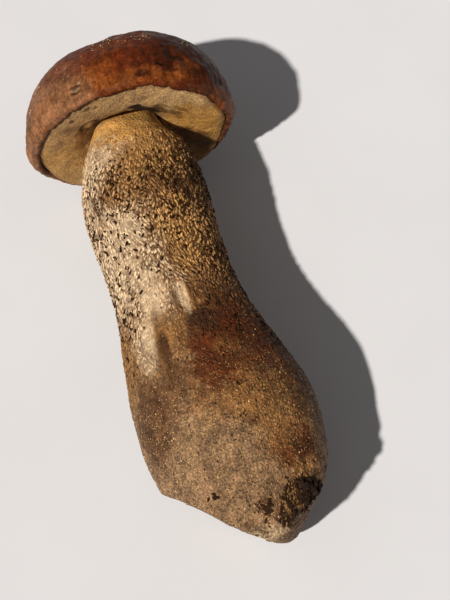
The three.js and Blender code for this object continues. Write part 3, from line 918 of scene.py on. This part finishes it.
# Where dark dots and scabers lie: place, angle, half length, half width, share.
DARK_STROKES = (
    (37, 126, 9, 8, 0.75),
    (34, 98, 6, 8, 0.6),
    (39, 78, 7, 7, 1),
    (35, 52, 8, 9, 0.9),
    (34, 138, 4, 6, 0.8),
    (39, 34, 13, 11, 1),
    (44, 100, 5, 16, 0.3),
    (30, 80, 8, 16, 0.42),
    (26, 152, 14, 12, 0.34),
    (10, 156, 18, 10, 0.4),
    (20, 70, 14, 22, 0.2),
    (18, 25, 22, 12, 0.6),
    (7, 72, 5, 6, 0.35),
    (-6, 152, 10, 6, 0.12),
    (-12, 60, 12, 12, 0.25),
)
# Bits on the base: place, angle, spread, how many, length, width, and colour from humus 0 to fibre 1.
FOREST_BITS = (
    (-55.4, 129, 0.1, 1, 2.4, 0.45, 0),
    (-55.4, 123, 0.35, 5, 1.1, 0.8, 0),
    (-62.6, 91, 0.9, 34, 1.1, 0.6, 0.03),
    (-61.4, 96, 0.7, 9, 0.9, 0.45, 0.05),
    (-61.8, 62, 1.2, 70, 1.6, 0.6, 0.06),
    (-62.8, 71, 2, 80, 2, 0.45, 0.65),
    (-63.5, 70, 2.2, 130, 1.9, 0.5, 0.03),
    (-66.5, 74, 1.6, 40, 1.4, 0.6, 0.03),
    (-61.6, 58, 1, 40, 1.5, 0.6, 0.03),
    (-63.5, 58, 1.8, 60, 1.4, 0.5, 0.45),
    (-63.5, 44, 1.8, 50, 1, 0.5, 0.15),
    (-41, 87, 1.2, 8, 0.8, 0.4, 0.05),
    (-50, 100, 9, 40, 0.55, 0.4, 0.02),
    (-30, 60, 12, 30, 0.5, 0.4, 0.02),
    (-64, 110, 6, 30, 0.6, 0.4, 0.1),
    (-68, 60, 5, 60, 0.9, 0.45, 0.3),
)
# How dark the gaps between granules are by place along Y, and the patches that are smooth.
GAP_LEVELS = (
    (58, 0), (54, 0.12), (50, 0.5), (45, 0.78), (36, 0.95),
    (20, 0.92), (8, 0.82), (-4, 0.66), (-14, 0.42), (-26, 0),
)
SMOOTH_STROKES = (
    (4, 116, 8, 4.5, 0.85),
    (-8, 122, 8, 4.5, 0.9),
    (0, 92, 6, 2.2, 1),
    (24, 118, 5, 5, 0.45),
    (20, 146, 17, 11, 0.4),
    (-12, 66, 12, 10, 0.85),
    (50, 98, 6, 11, 0.6),
)
# Sand on the crown: angle, height above the rim, spread, how many.
CROWN_SAND = (
    (86, 19.5, 3, 34),
    (68, 20.5, 2.6, 26),
    (100, 19, 3, 20),
    (42, 17, 3, 12),
    (28, 11, 2.6, 12),
    (150, 12, 4, 14),
    (172, 6, 4, 10),
    (88, 8.4, 0.1, 1),
    (70, 17.5, 0.1, 1),
    (120, 14, 6, 10),
)
# Lumps of the clod: middle and half sizes. The clod grows out from its root inside the stem.
SOIL_LUMPS = (
    ((19.8, -60.2, 37.6), (4.0, 4.0, 5.6)),
    ((21.6, -58.0, 31.6), (4.0, 3.8, 5.6)),
    ((18.2, -60.9, 41.6), (3.1, 3.1, 3.1)),
    ((17.8, -63.8, 38.6), (2.9, 2.9, 3.4)),
)
SOIL_ROOT = np.array([17.0, -56.0, 35.0])
SOIL_SHRINK = 0.97  # leaves room for the crumbs that stand out
SOIL_VOXEL = 0.30
# The picture: where the camera stands and looks, in the frame's millimetres, and the way of the light.
CAMERA_TARGET = (13.84, -6.03, 28.0)
CAMERA_PLACE = (-34.26, -198.94, 431.70)
KEY_TRAVEL = (0.56, 0.42, -0.82)
KEY_WIDTH = 1.6  # degrees across, for a soft edge of the shadow


class BOLETE_OT_cap(bpy.types.Operator):
    """The cap: its dome, the ragged edge of its skin, and the flesh that holds the tubes"""

    bl_idname = "bolete.cap"
    bl_label = "Cap"

    def bend(self, row, turn, piece):
        """Row 0 is the crown; the rows run over the dome, round the rim, and up inside."""
        angle = 2 * math.pi * turn - math.pi / 2
        lift = rim_lift(angle)
        torn = self.torn_edge(angle)
        radius, height = self.profile(row, lift, torn)
        skin = cap_skin_point(radius, angle, height)
        inside = self.inside(row, angle, lift, torn)
        point = np.where((row > RIM_END)[:, None], inside, skin)
        point = self.carve(point, angle, height, radius, row <= RIM_END)
        store(piece, "paint", self.paint(point, angle, height, radius, row))
        return point

    def profile(self, row, lift, torn):
        """Radius and height above the rim, over the dome and then round the rim to its torn edge."""
        dome = np.clip(row / DOME_END, 0, 1)
        rim = np.clip((row - DOME_END) / (RIM_END - DOME_END), 0, 1)
        a = (math.pi / 2) * (1 - dome)
        b = (math.pi / 2) * (1 - rim)
        dome_radius = CAP_RADIUS * np.cos(a) ** DOME_POWER
        dome_height = WIDEST_HEIGHT + (CAP_HEIGHT - WIDEST_HEIGHT) * np.sin(a) ** DOME_POWER
        rim_radius = RIM_RADIUS + (CAP_RADIUS - RIM_RADIUS) * np.sin(b) ** RIM_POWER
        rim_height = -RIM_DROP + (WIDEST_HEIGHT + RIM_DROP) * (1 - np.cos(b)) + rim * lift - rim**2 * torn
        on_rim = row > DOME_END
        return np.where(on_rim, rim_radius, dome_radius), np.where(on_rim, rim_height, dome_height)

    def inside(self, row, angle, lift, torn):
        """From the skin's edge over the lip, up the recess of the tubes, and into the stem's socket."""
        full = np.ones_like(angle)
        corners = (
            (0.0, cap_skin_point(RIM_RADIUS * full, angle, -RIM_DROP + lift - torn)),
            (0.15, cap_skin_point(LIP_INNER_RADIUS * full, angle, LIP_INNER_HEIGHT + lift - torn)),
            (0.35, recess_point(RECESS_RADIUS * full, angle, RECESS_EDGE + lift)),
            (0.6, recess_point(RECESS_RADIUS * full, angle, FLESH_HEIGHT * full)),
            (0.8, recess_point(socket_radius(FLESH_HEIGHT * full), angle, FLESH_HEIGHT * full)),
            (0.92, recess_point(socket_radius(SOCKET_TOP * full), angle, SOCKET_TOP * full)),
            (1.0, in_cap_frame(0 * full, 0 * full, SOCKET_TOP * full)),
        )
        return walked(corners[0][1], np.clip((row - RIM_END) / (1 - RIM_END), 0, 1), corners)

    def torn_edge(self, angle):
        """How far the skin's ragged edge hangs past the rim, less where a notch is torn in it."""
        ring = np.stack([np.cos(angle), np.sin(angle), np.zeros_like(angle)], axis=-1) * 40.0
        rough = 0.45 * soft_noise(ring, 2.6) + 0.22 * soft_noise(ring, 0.9)
        notches = np.zeros_like(angle)
        for at, width, depth in SKIN_NOTCHES:
            across = np.degrees(np.abs(turned_from(angle, at))) * 0.5
            notches += depth * np.exp(-((across / width) ** 2))
        return 0.25 * np.sin(11 * angle + 2.3) + rough - notches

    def carve(self, point, angle, height, radius, outside):
        """Wrinkles, creases and pits, pushed in or out along the way from the middle."""
        out = unit(point - (CAP_MIDDLE + 4.0 * CAP_AXIS) + 1e-6)
        flow = np.stack([26.0 * np.cos(angle), height * 0.35, 26.0 * np.sin(angle)], axis=-1)
        left = ease(0.2, 0.9, -np.cos(angle))
        wrinkle = soft_noise(flow, 1.5, 2) * (1 - ease(2.0, 15.0, height)) * (0.5 + 0.5 * left) * 0.34
        lumps = 0.34 * soft_noise(point, 6.0, 2) + 0.16 * soft_noise(point, 1.9, 3)
        turn = np.degrees(angle) % 360.0
        creased = ease(25, 50, turn) * (1 - ease(85, 110, turn))
        creased = creased * ease(1.0, 3.5, height) * (1 - ease(11.0, 17.0, height))
        crease = -np.abs(soft_noise(flow + 0.35 * point, 5.0, 2)) * 1.3 + 0.3
        push = wrinkle + lumps * ease(-2.0, 2.0, height) + crease * creased
        for at, pit_angle, size, depth in CAP_PITS:
            reach = np.sqrt(reach_from(height, angle, PIT_RADIUS, (at, pit_angle, size, 1.5 * size)))
            push += depth * (1 - ease(0.3, 1.0, reach)) + 0.16 * np.exp(-((reach - 1.25) / 0.3) ** 2)
        point = point + (push * outside * ease(0.0, 4.0, radius))[:, None] * out
        point[:, 2] = np.maximum(point[:, 2], 0.0)
        return point

    def paint(self, point, angle, height, radius, row):
        """Maroon above, pinkish below, with the strokes, a dark torn edge and pale flesh inside."""
        palette = colours(bpy.context.scene.bolete_cap)
        upper = ease(-0.4, 0.9, np.sin(angle))[:, None]
        ground = palette["pink"] * 0.55 + palette["maroon"] * 0.45
        ground = ground + (palette["maroon"] - ground) * np.maximum(upper, ease(6, 20, height)[:, None])
        waver = 0.35 * soft_noise(point, 3.5, 4) + 0.35 * soft_noise(point, 1.2, 3)
        paint = painted(ground, height, angle, np.maximum(radius, 4.0), CAP_STROKES, palette, waver)
        edge = (ease(0.845, 0.872, row) * (1 - ease(0.90, 0.93, row)))[:, None]
        paint = paint + edge * 0.5 * (palette["dark"] - paint)
        inside = ease(0.915, 0.93, row)[:, None]
        return paint + inside * (palette["flesh"] - paint)

    def execute(self, context):
        piece = bent_grid("cap_skin", *CAP_GRID, self.bend)
        finished(piece, cap_skin_material(context.scene.bolete_cap), "cap_skin", "cap")
        return {"FINISHED"}


class BOLETE_OT_pore_face(bpy.types.Operator):
    """The ring of tubes, with its pore mouths, its bruises and the knob beside the stem"""

    bl_idname = "bolete.pore_face"
    bl_label = "Pore Face"

    def bend(self, row, turn, piece):
        """Row 0 is the rim; the rows run in to the stem and back over the flat top of the tubes."""
        angle = 2 * math.pi * turn - math.pi / 2
        face = np.clip(row / PORE_FACE_END, 0, 1)
        radius = PORE_RADII[0] + (PORE_RADII[-1] - PORE_RADII[0]) * face
        height = along(PORE_RADII, PORE_HEIGHTS, radius) + rim_lift(angle) * ease(18, 27, radius)
        spread = self.spread(angle)
        height = height - SPREAD_DROP * spread * ease(21, 27.2, radius)
        wide = radius + SPREAD_WIDTH * spread * ease(20, 27.2, radius)
        flat = recess_point(wide, angle, height)
        ripple = 0.22 * soft_noise(flat, 4.5, 2) + 0.10 * soft_noise(flat, 1.3, 3)
        edge = ease(0.0, 0.04, face) * (1 - ease(0.97, 1.0, face))
        reach = self.knob_reach(radius, angle)
        knob = 0.7 * (1 - ease(0.1, 0.9, reach)) - 0.45 * np.exp(-((reach - 1.15) / 0.22) ** 2)
        point = recess_point(wide, angle, height - (ripple + knob) * edge)
        back = np.clip((row - PORE_FACE_END) / (1 - PORE_FACE_END), 0, 1)
        point = walked(point, back, self.back_corners(angle, spread))
        point[:, 2] = np.maximum(point[:, 2], 0.0)
        store(piece, "paint", self.paint(flat, radius, angle, reach))
        return point

    def spread(self, angle):
        """How far the tubes bulge out over the cap's lip: a little all round, more along the lower edge."""
        turn = np.degrees(angle) % 360.0
        return 0.32 + 0.68 * ease(192, 226, turn) * (1 - ease(322, 356, turn))

    def knob_reach(self, radius, angle):
        """Distance from the middle of the knob, 1 at about its edge."""
        return np.sqrt(reach_from(radius, angle, KNOB_RADIUS, KNOB))

    def back_corners(self, angle, spread):
        """From the stem up its hole, out over the top of the tubes, and down to the rim again."""
        full = np.ones_like(angle)
        top = (FLESH_HEIGHT - CLEARANCE) * full
        rim_height = PORE_HEIGHTS[0] + rim_lift(angle) - SPREAD_DROP * spread
        return (
            (0.0, recess_point(PORE_RADII[-1] * full, angle, PORE_HEIGHTS[-1] * full)),
            (0.2, recess_point(socket_radius(top), angle, top)),
            (0.6, recess_point(19.0 * full, angle, top)),
            (0.85, recess_point((RECESS_RADIUS - CLEARANCE - 0.1) * full, angle, top)),
            (1.0, recess_point(PORE_RADII[0] + SPREAD_WIDTH * spread, angle, rim_height)),
        )

    def paint(self, flat, radius, angle, reach):
        """Cream with the strokes, a dark ring round the knob and a golden top on it."""
        palette = colours(bpy.context.scene.bolete_pores)
        waver = 0.45 * soft_noise(flat, 2.6, 4)
        ground = np.broadcast_to(palette["cream"] * 0.8, flat.shape)
        paint = painted(ground, radius, angle, radius, PORE_STROKES, palette, waver)
        ring = (0.7 * np.exp(-((reach - 1.1) / 0.25) ** 2))[:, None]
        paint = paint + ring * (palette["bruise_and_shadow"] - paint)
        top = (0.5 * (1 - ease(0.2, 0.8, reach)))[:, None]
        return paint + top * (palette["gold"] * 0.6 - paint)

    def execute(self, context):
        piece = bent_grid("pore_face", *PORE_GRID, self.bend)
        finished(piece, pore_material(context.scene.bolete_pores), "pores", "pore_layer")
        return {"FINISHED"}


def dark_share(place, angle, bare):
    """How thickly the dark scabers stand."""
    waver = 0.4 * soft_noise(bare, 3.0, 3)
    share = np.zeros_like(place)
    for *stroke, strength in DARK_STROKES:
        share = np.maximum(share, strength * covered(place, angle, STROKE_RADIUS, stroke, waver))
    return share


def down_the_stem(stations, place):
    """Reads between stations (place, value) that are listed from the cap to the base."""
    places, values = zip(*stations)
    return np.interp(-place, -np.array(places, float), values)


def stem_paint(point, place, angle):
    """The painted colour of the stem at each point."""
    palette = colours(bpy.context.scene.bolete_stem)
    channels = [[(at, palette[name][c]) for at, name in STEM_GROUND] for c in range(3)]
    ground = np.stack([down_the_stem(stations, place) for stations in channels], axis=-1)
    waver = 0.45 * soft_noise(point, 5.0, 4) + 0.5 * soft_noise(point, 1.5, 3)
    radius = along(STEM_Y, STEM_R, np.clip(place, BASE_Y, STEM_Y[0]))
    return painted(ground, place, angle, radius, STEM_STROKES, palette, waver)


def stem_relief(place, angle, bare):
    """How far the flesh stands out from the smooth stem, with its old scar, collar and torn end."""
    relief = bpy.context.scene.bolete_stem.relief / MM
    near, next_near, _ = cell_noise(bare * [1.0, 0.62, 1.0], 1.0)
    granule = (ease(0.02, 0.35, next_near - near) - 0.5) * scaber_share(place, bare[:, 2])
    fibre = soft_noise(bare * [1.0, 0.12, 1.0], 1.1, 2)
    grow = relief * granule + 0.12 * fibre + 0.22 * soft_noise(bare, 6.0, 3) + 0.08 * soft_noise(bare, 0.8, 2)
    reach = np.sqrt(reach_from(place, angle, SCAR_RADIUS, SCAR))
    grow -= 0.75 * (1 - ease(0.5, 1.0, reach)) - 0.2 * np.exp(-((reach - 1.2) / 0.2) ** 2)
    torn = (0.7 * soft_noise(bare, 2.8, 2) + 0.45 * soft_noise(bare, 1.3, 2)) * ease(-51, -57, place)
    at, middle, length, width, height = COLLAR
    turn = np.degrees(angle) % 360.0
    collar = height * np.exp(-(((place - at) / length) ** 2)) * np.exp(-(((turn - middle) / width) ** 2))
    return (grow + torn) * ease(0.0, 2.5, bare[:, 2]) * (1 - ease(57, 61, place)) + collar


def gap_share(place, angle, point):
    """How dark the flesh is between the granules: strong in the net, none on the smooth patches."""
    share = down_the_stem(GAP_LEVELS, place)
    waver = 0.4 * soft_noise(point, 3.0, 3)
    for *stroke, strength in SMOOTH_STROKES:
        share = share * (1 - strength * covered(place, angle, STROKE_RADIUS, stroke, waver, 0.4))
    return share * ease(0.6, 3.0, point[:, 2])


class BOLETE_OT_stem(bpy.types.Operator):
    """The stem's flesh, from the plug in the cap to the torn base"""

    bl_idname = "bolete.stem"
    bl_label = "Stem"

    def bend(self, row, turn, piece):
        """Row 0 is the middle of the plug's flat end; the rows run down the stem and round its base."""
        angle = 2 * math.pi * turn - math.pi / 2
        plug = np.clip(row / PLUG_END, 0, 1)
        down = np.clip((row - PLUG_END) / (1 - PLUG_END), 0, 1)
        place = STEM_Y[0] - (STEM_Y[0] - BASE_Y + END_SPAN) * down
        bare = stem_point(place, angle)
        point = stem_point(place, angle, stem_relief(place, angle, bare))
        top = np.full_like(place, STEM_Y[0])
        centre = stem_line(top)
        on_plug = centre + plug[:, None] * (stem_point(top, angle) - centre)
        point = np.where((row < PLUG_END)[:, None], on_plug, point)
        gap = gap_share(place, angle, bare)
        dots = 0.14 * dark_share(place, angle, bare) + 0.03 * ease(52, 40, place)
        store(piece, "paint", stem_paint(bare, place, angle))
        store(piece, "net", np.clip(0.8 * gap + 0.12, 0, 0.9))
        store(piece, "gap", gap)
        store(piece, "dots", np.clip(dots, 0, 1))
        store(piece, "sand", ease(-12, -34, place) * 0.9 + 0.1)
        return point

    def execute(self, context):
        piece = bent_grid("stem_flesh", *STEM_GRID, self.bend)
        finished(piece, stem_material(context.scene.bolete_stem), "stem_flesh", "stem")
        return {"FINISHED"}


def strewn_places(rng, low, high, spacing, around_spacing):
    """Jittered places along and around the stem, evenly spread over its skin."""
    places, angles = [], []
    for at in np.arange(low, high, spacing):
        radius = float(along(STEM_Y, STEM_R, np.clip(at, BASE_Y, STEM_Y[0])))
        count = int(2 * math.pi * radius / around_spacing)
        angles.append((np.arange(count) + rng.random(count)) / count * 2 * math.pi)
        places.append(at + (rng.random(count) - 0.5) * spacing)
    return np.concatenate(places), np.concatenate(angles)


def stem_normals(place, angle):
    """The ways out of the stem's skin and down along it."""
    step = 0.4
    down = stem_point(place + step, angle) - stem_point(place - step, angle)
    turn = step / STROKE_RADIUS
    across = stem_point(place, angle + turn) - stem_point(place, angle - turn)
    return unit(np.cross(across, down)), unit(down)


class BOLETE_OT_scabers(bpy.types.Operator):
    """The pale granules of the stem's net and its dark scabers"""

    bl_idname = "bolete.scabers"
    bl_label = "Scabers"

    def granules(self, context, rng):
        """Pale grains in slanting rows, thickest where the net is dark between them."""
        settings = context.scene.bolete_scabers
        shape = template(bpy.ops.mesh.primitive_uv_sphere_add, 0.8, 0.3, segments=5, ring_count=3)
        place, angle = strewn_places(rng, -30.0, 56.0, 1.22, 0.80)
        bare = stem_point(place, angle)
        share = scaber_share(place, bare[:, 2])
        gap = gap_share(place, angle, bare)
        keep = (rng.random(len(place)) < 0.35 + 0.75 * gap) & (gap > 0.06) & (share > 0.1)
        place, angle, bare, share = place[keep], angle[keep], bare[keep], share[keep]
        ups, ways = stem_normals(place, angle)
        slant = 0.25 + 1.2 * soft_noise(bare, 6.0, 2) + (rng.random(len(place)) - 0.5) * 0.7
        ways = ways + slant[:, None] * np.cross(ups, ways)
        length = settings.granule_length / MM * (0.60 + 0.95 * rng.random(len(place)))
        width = length**0.5 * (0.44 + 0.24 * rng.random(len(place)))
        sizes = np.stack([width, length, width * (0.42 + 0.25 * share)], axis=1)
        lift = stem_relief(place, angle, bare) - 0.02 + 0.08 * rng.random(len(place))
        piece = strewn("pale_granules", shape, stem_point(place, angle, lift), ups, ways, sizes)
        # The granules take the stem's paint, with its painted shade on the right side.
        ground = stem_paint(bare, place, angle)
        light = 0.78 + 0.62 * rng.random(len(place)) + 0.34 * soft_noise(bare, 2.6, 2)
        tint = ground * light[:, None]
        cream = np.array(context.scene.bolete_stem.cream[:])
        pale = cream * ground.mean(1, keepdims=True) / cream.mean()
        tint = tint + (0.06 + 0.22 * rng.random(len(place)))[:, None] * (pale - tint)
        store(piece, "paint", per_copy(np.clip(tint, 0, 0.85), shape))
        finished(piece, granule_material("pale_granules", 0.75), "stem_flesh")

    def scabers(self, context, rng):
        """Small dark scales in clumps, turned every way."""
        settings = context.scene.bolete_scabers
        shape = template(bpy.ops.mesh.primitive_ico_sphere_add, 0.8, 0.5, subdivisions=1)
        place, angle = strewn_places(rng, -28.0, 52.0, 0.95, 0.85)
        bare = stem_point(place, angle)
        clump = np.clip(0.30 + 2.6 * soft_noise(bare * [1.0, 0.7, 1.0], 1.8, 2), 0, 1)
        keep = rng.random(len(place)) < 1.25 * dark_share(place, angle, bare) * clump
        keep &= bare[:, 2] > 1.5
        place, angle, bare = place[keep], angle[keep], bare[keep]
        ups, ways = stem_normals(place, angle)
        ways = ways + ((rng.random(len(place)) - 0.4) * 3.0)[:, None] * np.cross(ups, ways)
        length = settings.scaber_length / MM * (0.5 + 1.0 * rng.random(len(place)) ** 1.6)
        sizes = np.stack([0.20 + length * 0.30, length, 0.15 + length * 0.22], axis=1)
        point = stem_point(place, angle, stem_relief(place, angle, bare) + 0.26)
        piece = strewn("dark_scabers", shape, point, ups, ways, sizes)
        black = np.array(settings.black[:])
        umber = np.array(context.scene.bolete_stem.umber[:])
        share = rng.random(len(place))[:, None] ** 2
        store(piece, "paint", per_copy(black + share * 0.7 * (umber - black), shape))
        finished(piece, granule_material("dark_scabers", 0.85, 0.08), "stem_flesh")

    def execute(self, context):
        rng = np.random.default_rng(context.scene.bolete_scabers.seed)
        self.granules(context, rng)
        self.scabers(context, rng)
        return {"FINISHED"}


class BOLETE_OT_sand(bpy.types.Operator):
    """Sand grains on the base and the crown"""

    bl_idname = "bolete.sand"
    bl_label = "Sand"

    def execute(self, context):
        settings = context.scene.bolete_scabers
        rng = np.random.default_rng(settings.seed + 1)
        shape = template(bpy.ops.mesh.primitive_ico_sphere_add, 0.85, subdivisions=1)
        base_points, base_ups = self.base(rng)
        crown_points, crown_ups = self.crown(rng)
        point = np.concatenate([base_points + base_ups * 0.10, crown_points])
        ups = np.concatenate([base_ups, crown_ups])
        ways = rng.normal(size=ups.shape)
        size = settings.grain_size / MM * (0.45 + 0.75 * rng.random(len(point)) ** 2)
        sizes = np.stack([size, size * (0.8 + 0.5 * rng.random(len(point))), size * 0.8], axis=1)
        piece = strewn("sand_grains", shape, point, ups, ways, sizes, smooth=False)
        tint = np.array(settings.sand[:]) * (0.35 + 0.80 * rng.random(len(point)) ** 1.5)[:, None]
        tint[:, 2] *= 0.45 + 0.45 * rng.random(len(point))
        tint[:, 1] *= 0.9
        store(piece, "paint", per_copy(tint, shape))
        finished(piece, granule_material("sand_grains", 0.3, 0.5), "soil")
        return {"FINISHED"}

    def base(self, rng):
        """Grains on the swollen base, more of them at its sides."""
        place, angle = strewn_places(rng, -74.0, -6.0, 1.2, 1.1)
        chance = rng.random(len(place))
        sides = 0.35 + 0.65 * np.clip(1.3 * np.abs(np.cos(angle)), 0, 1)
        keep = chance < 0.58 * ease(-6, -24, place) * sides
        place, angle = place[keep], angle[keep]
        point = stem_point(place, angle)
        above = point[:, 2] > 1.2
        return point[above], stem_normals(place, angle)[0][above]

    def crown(self, rng):
        """Grains on the cap."""
        points, ups = [], []
        for turn, at, spread, count in CROWN_SAND:
            angle = np.radians(turn + rng.normal(size=count) * spread * 2.6)
            height = np.clip(at + rng.normal(size=count) * spread * 0.5, 3.6, 29.0)
            lift = (height - WIDEST_HEIGHT) / (CAP_HEIGHT - WIDEST_HEIGHT)
            a = np.arcsin(np.clip(lift, 0, 1) ** (1 / DOME_POWER))
            point = cap_skin_point(CAP_RADIUS * np.cos(a) ** DOME_POWER, angle, height)
            points.append(point)
            ups.append(unit(point - (CAP_MIDDLE + 4.0 * CAP_AXIS)))
        return np.concatenate(points), np.concatenate(ups)


class BOLETE_OT_soil(bpy.types.Operator):
    """The clod of soil on the torn base"""

    bl_idname = "bolete.soil"
    bl_label = "Soil"

    def lump(self, at, size):
        bpy.ops.mesh.primitive_ico_sphere_add(subdivisions=4, radius=1.0)
        lump = bpy.context.active_object
        set_coordinates(lump, coordinates(lump) * np.array(size) * SOIL_SHRINK + np.array(at))
        return lump

    def clod(self):
        """One skin drawn over the lumps, crumbled by noise."""
        deselect_all()
        lumps = [self.lump(at, size) for at, size in SOIL_LUMPS]
        for lump in lumps:
            lump.select_set(True)
        bpy.context.view_layer.objects.active = lumps[0]
        bpy.ops.object.join()
        clod = bpy.context.active_object
        clod.name = "soil_crumbs"
        clod.data.name = "soil_crumbs"
        melt = clod.modifiers.new("melt", "REMESH")
        melt.mode = "VOXEL"
        melt.voxel_size = SOIL_VOXEL * MM
        bpy.ops.object.modifier_apply(modifier=melt.name)
        points = coordinates(clod) / MM - CENTRING
        out = unit(points - SOIL_ROOT)
        near, next_near, chance = cell_noise(points, 1.15)
        crumble = 1.6 * (chance - 0.5) * ease(0.0, 0.4, next_near - near) + 0.65 * soft_noise(points, 1.6, 4)
        set_coordinates(clod, points + crumble[:, None] * out)
        return clod

    def execute(self, context):
        finished(self.clod(), soil_material(context.scene.bolete_soil), "soil", "soil_clod")
        return {"FINISHED"}


class BOLETE_OT_forest_bits(bpy.types.Operator):
    """Needle pieces, crumbs of bark and rootlets stuck to the base"""

    bl_idname = "bolete.forest_bits"
    bl_label = "Forest Bits"

    def scattered(self, rng):
        """Each bit's place, turn in degrees, length, width, tint and way, one row of numbers for each."""
        rows = []
        for at, turn, spread, count, length, width, tint in FOREST_BITS:
            for _ in range(count):
                stretch = 0.6 + 0.8 * rng.random()
                place = at + rng.normal() * spread
                angle = turn + math.degrees(rng.normal() * spread / 22.0)
                wide = width * (0.7 + 0.6 * rng.random())
                shade = tint * (0.6 + 0.8 * rng.random())
                rows.append((place, angle, length * stretch, wide, shade, rng.random()))
        return np.array(rows).T

    def execute(self, context):
        settings = context.scene.bolete_soil
        rng = np.random.default_rng(context.scene.bolete_scabers.seed + 2)
        shape = template(bpy.ops.mesh.primitive_ico_sphere_add, 0.7, 0.3, subdivisions=1)
        place, turn, length, width, tint, way = self.scattered(rng)
        angle = np.radians(turn)
        bare = stem_point(place, angle)
        ups, ways = stem_normals(place, angle)
        ways = ways + ((way - 0.5) * 2.4)[:, None] * np.cross(ups, ways)
        ups = ups + 0.25 * rng.normal(size=ups.shape)
        point = stem_point(place, angle, stem_relief(place, angle, bare) + 0.15 + 0.2 * width)
        sizes = np.stack([width, length, width * 0.8], axis=1)
        piece = strewn("forest_bits", shape, point, ups, ways, sizes, smooth=False)
        humus = np.array(settings.humus[:])
        colour = humus + np.clip(tint, 0, 1)[:, None] * (np.array(settings.fibre[:]) - humus)
        store(piece, "paint", per_copy(colour, shape))
        finished(piece, granule_material("forest_bits", 0.85, 0.1), "soil")
        return {"FINISHED"}


class BOLETE_OT_stage(bpy.types.Operator):
    """The pale floor, the lights and the camera"""

    bl_idname = "bolete.stage"
    bl_label = "Stage"

    def execute(self, context):
        settings = context.scene.bolete_stage
        deselect_all()
        bpy.ops.mesh.primitive_plane_add(size=6.0, location=(0.0, 0.0, -0.0002))
        floor = bpy.context.active_object
        floor.name = "floor"
        floor.data.materials.append(floor_material(settings))
        self.lights(context, settings)
        self.camera(context, settings)
        return {"FINISHED"}

    def lights(self, context, settings):
        world = context.scene.world or bpy.data.worlds.new("room")
        context.scene.world = world
        world.use_nodes = True
        room = world.node_tree.nodes["Background"]
        room.inputs["Color"].default_value = rgba(settings.fill_colour)
        room.inputs["Strength"].default_value = settings.fill
        bpy.ops.object.light_add(type="SUN")
        key = bpy.context.active_object
        key.name = "key_light"
        key.data.energy = settings.key
        key.data.angle = math.radians(KEY_WIDTH)
        key.data.color = settings.key_colour
        key.rotation_euler = Vector(KEY_TRAVEL).to_track_quat("-Z", "Y").to_euler()

    def camera(self, context, settings):
        target = Vector(CAMERA_TARGET) * MM
        place = Vector(CAMERA_PLACE) * MM
        bpy.ops.object.camera_add(location=place)
        camera = bpy.context.active_object
        camera.name = "camera"
        camera.data.lens = settings.lens
        camera.data.sensor_width = 36.0
        camera.data.clip_start = 0.01
        camera.data.clip_end = 20.0
        camera.rotation_euler = (target - place).to_track_quat("-Z", "Y").to_euler()
        context.scene.camera = camera
        context.scene.view_settings.view_transform = "Standard"


OPERATORS = (
    BOLETE_OT_stage,
    BOLETE_OT_cap,
    BOLETE_OT_pore_face,
    BOLETE_OT_stem,
    BOLETE_OT_scabers,
    BOLETE_OT_sand,
    BOLETE_OT_soil,
    BOLETE_OT_forest_bits,
)


class BOLETE_PT_panel(bpy.types.Panel):
    """Lists the pieces of the bolete"""

    bl_label = "Orange Bolete"
    bl_idname = "BOLETE_PT_panel"
    bl_space_type = "VIEW_3D"
    bl_region_type = "UI"
    bl_category = "Bolete"

    def draw(self, context):
        for operator in OPERATORS:
            self.layout.operator(operator.bl_idname)
        for name in SETTINGS:
            settings = getattr(context.scene, name)
            box = self.layout.box()
            for key in settings.__annotations__:
                box.prop(settings, key)


SETTINGS = {
    "bolete_cap": BoleteCapSettings,
    "bolete_pores": BoletePoreSettings,
    "bolete_stem": BoleteStemSettings,
    "bolete_scabers": BoleteScaberSettings,
    "bolete_soil": BoleteSoilSettings,
    "bolete_stage": BoleteStageSettings,
}


def register():
    for name, group in SETTINGS.items():
        bpy.utils.register_class(group)
        setattr(bpy.types.Scene, name, bpy.props.PointerProperty(type=group))
    for operator in OPERATORS:
        bpy.utils.register_class(operator)
    bpy.utils.register_class(BOLETE_PT_panel)


def unregister():
    bpy.utils.unregister_class(BOLETE_PT_panel)
    for operator in reversed(OPERATORS):
        bpy.utils.unregister_class(operator)
    for name, group in SETTINGS.items():
        delattr(bpy.types.Scene, name)
        bpy.utils.unregister_class(group)


def main():
    register()
    bpy.ops.bolete.stage()
    bpy.ops.bolete.cap()
    bpy.ops.bolete.pore_face()
    bpy.ops.bolete.stem()
    bpy.ops.bolete.scabers()
    bpy.ops.bolete.sand()
    bpy.ops.bolete.soil()
    bpy.ops.bolete.forest_bits()


if __name__ == "__main__":
    main()
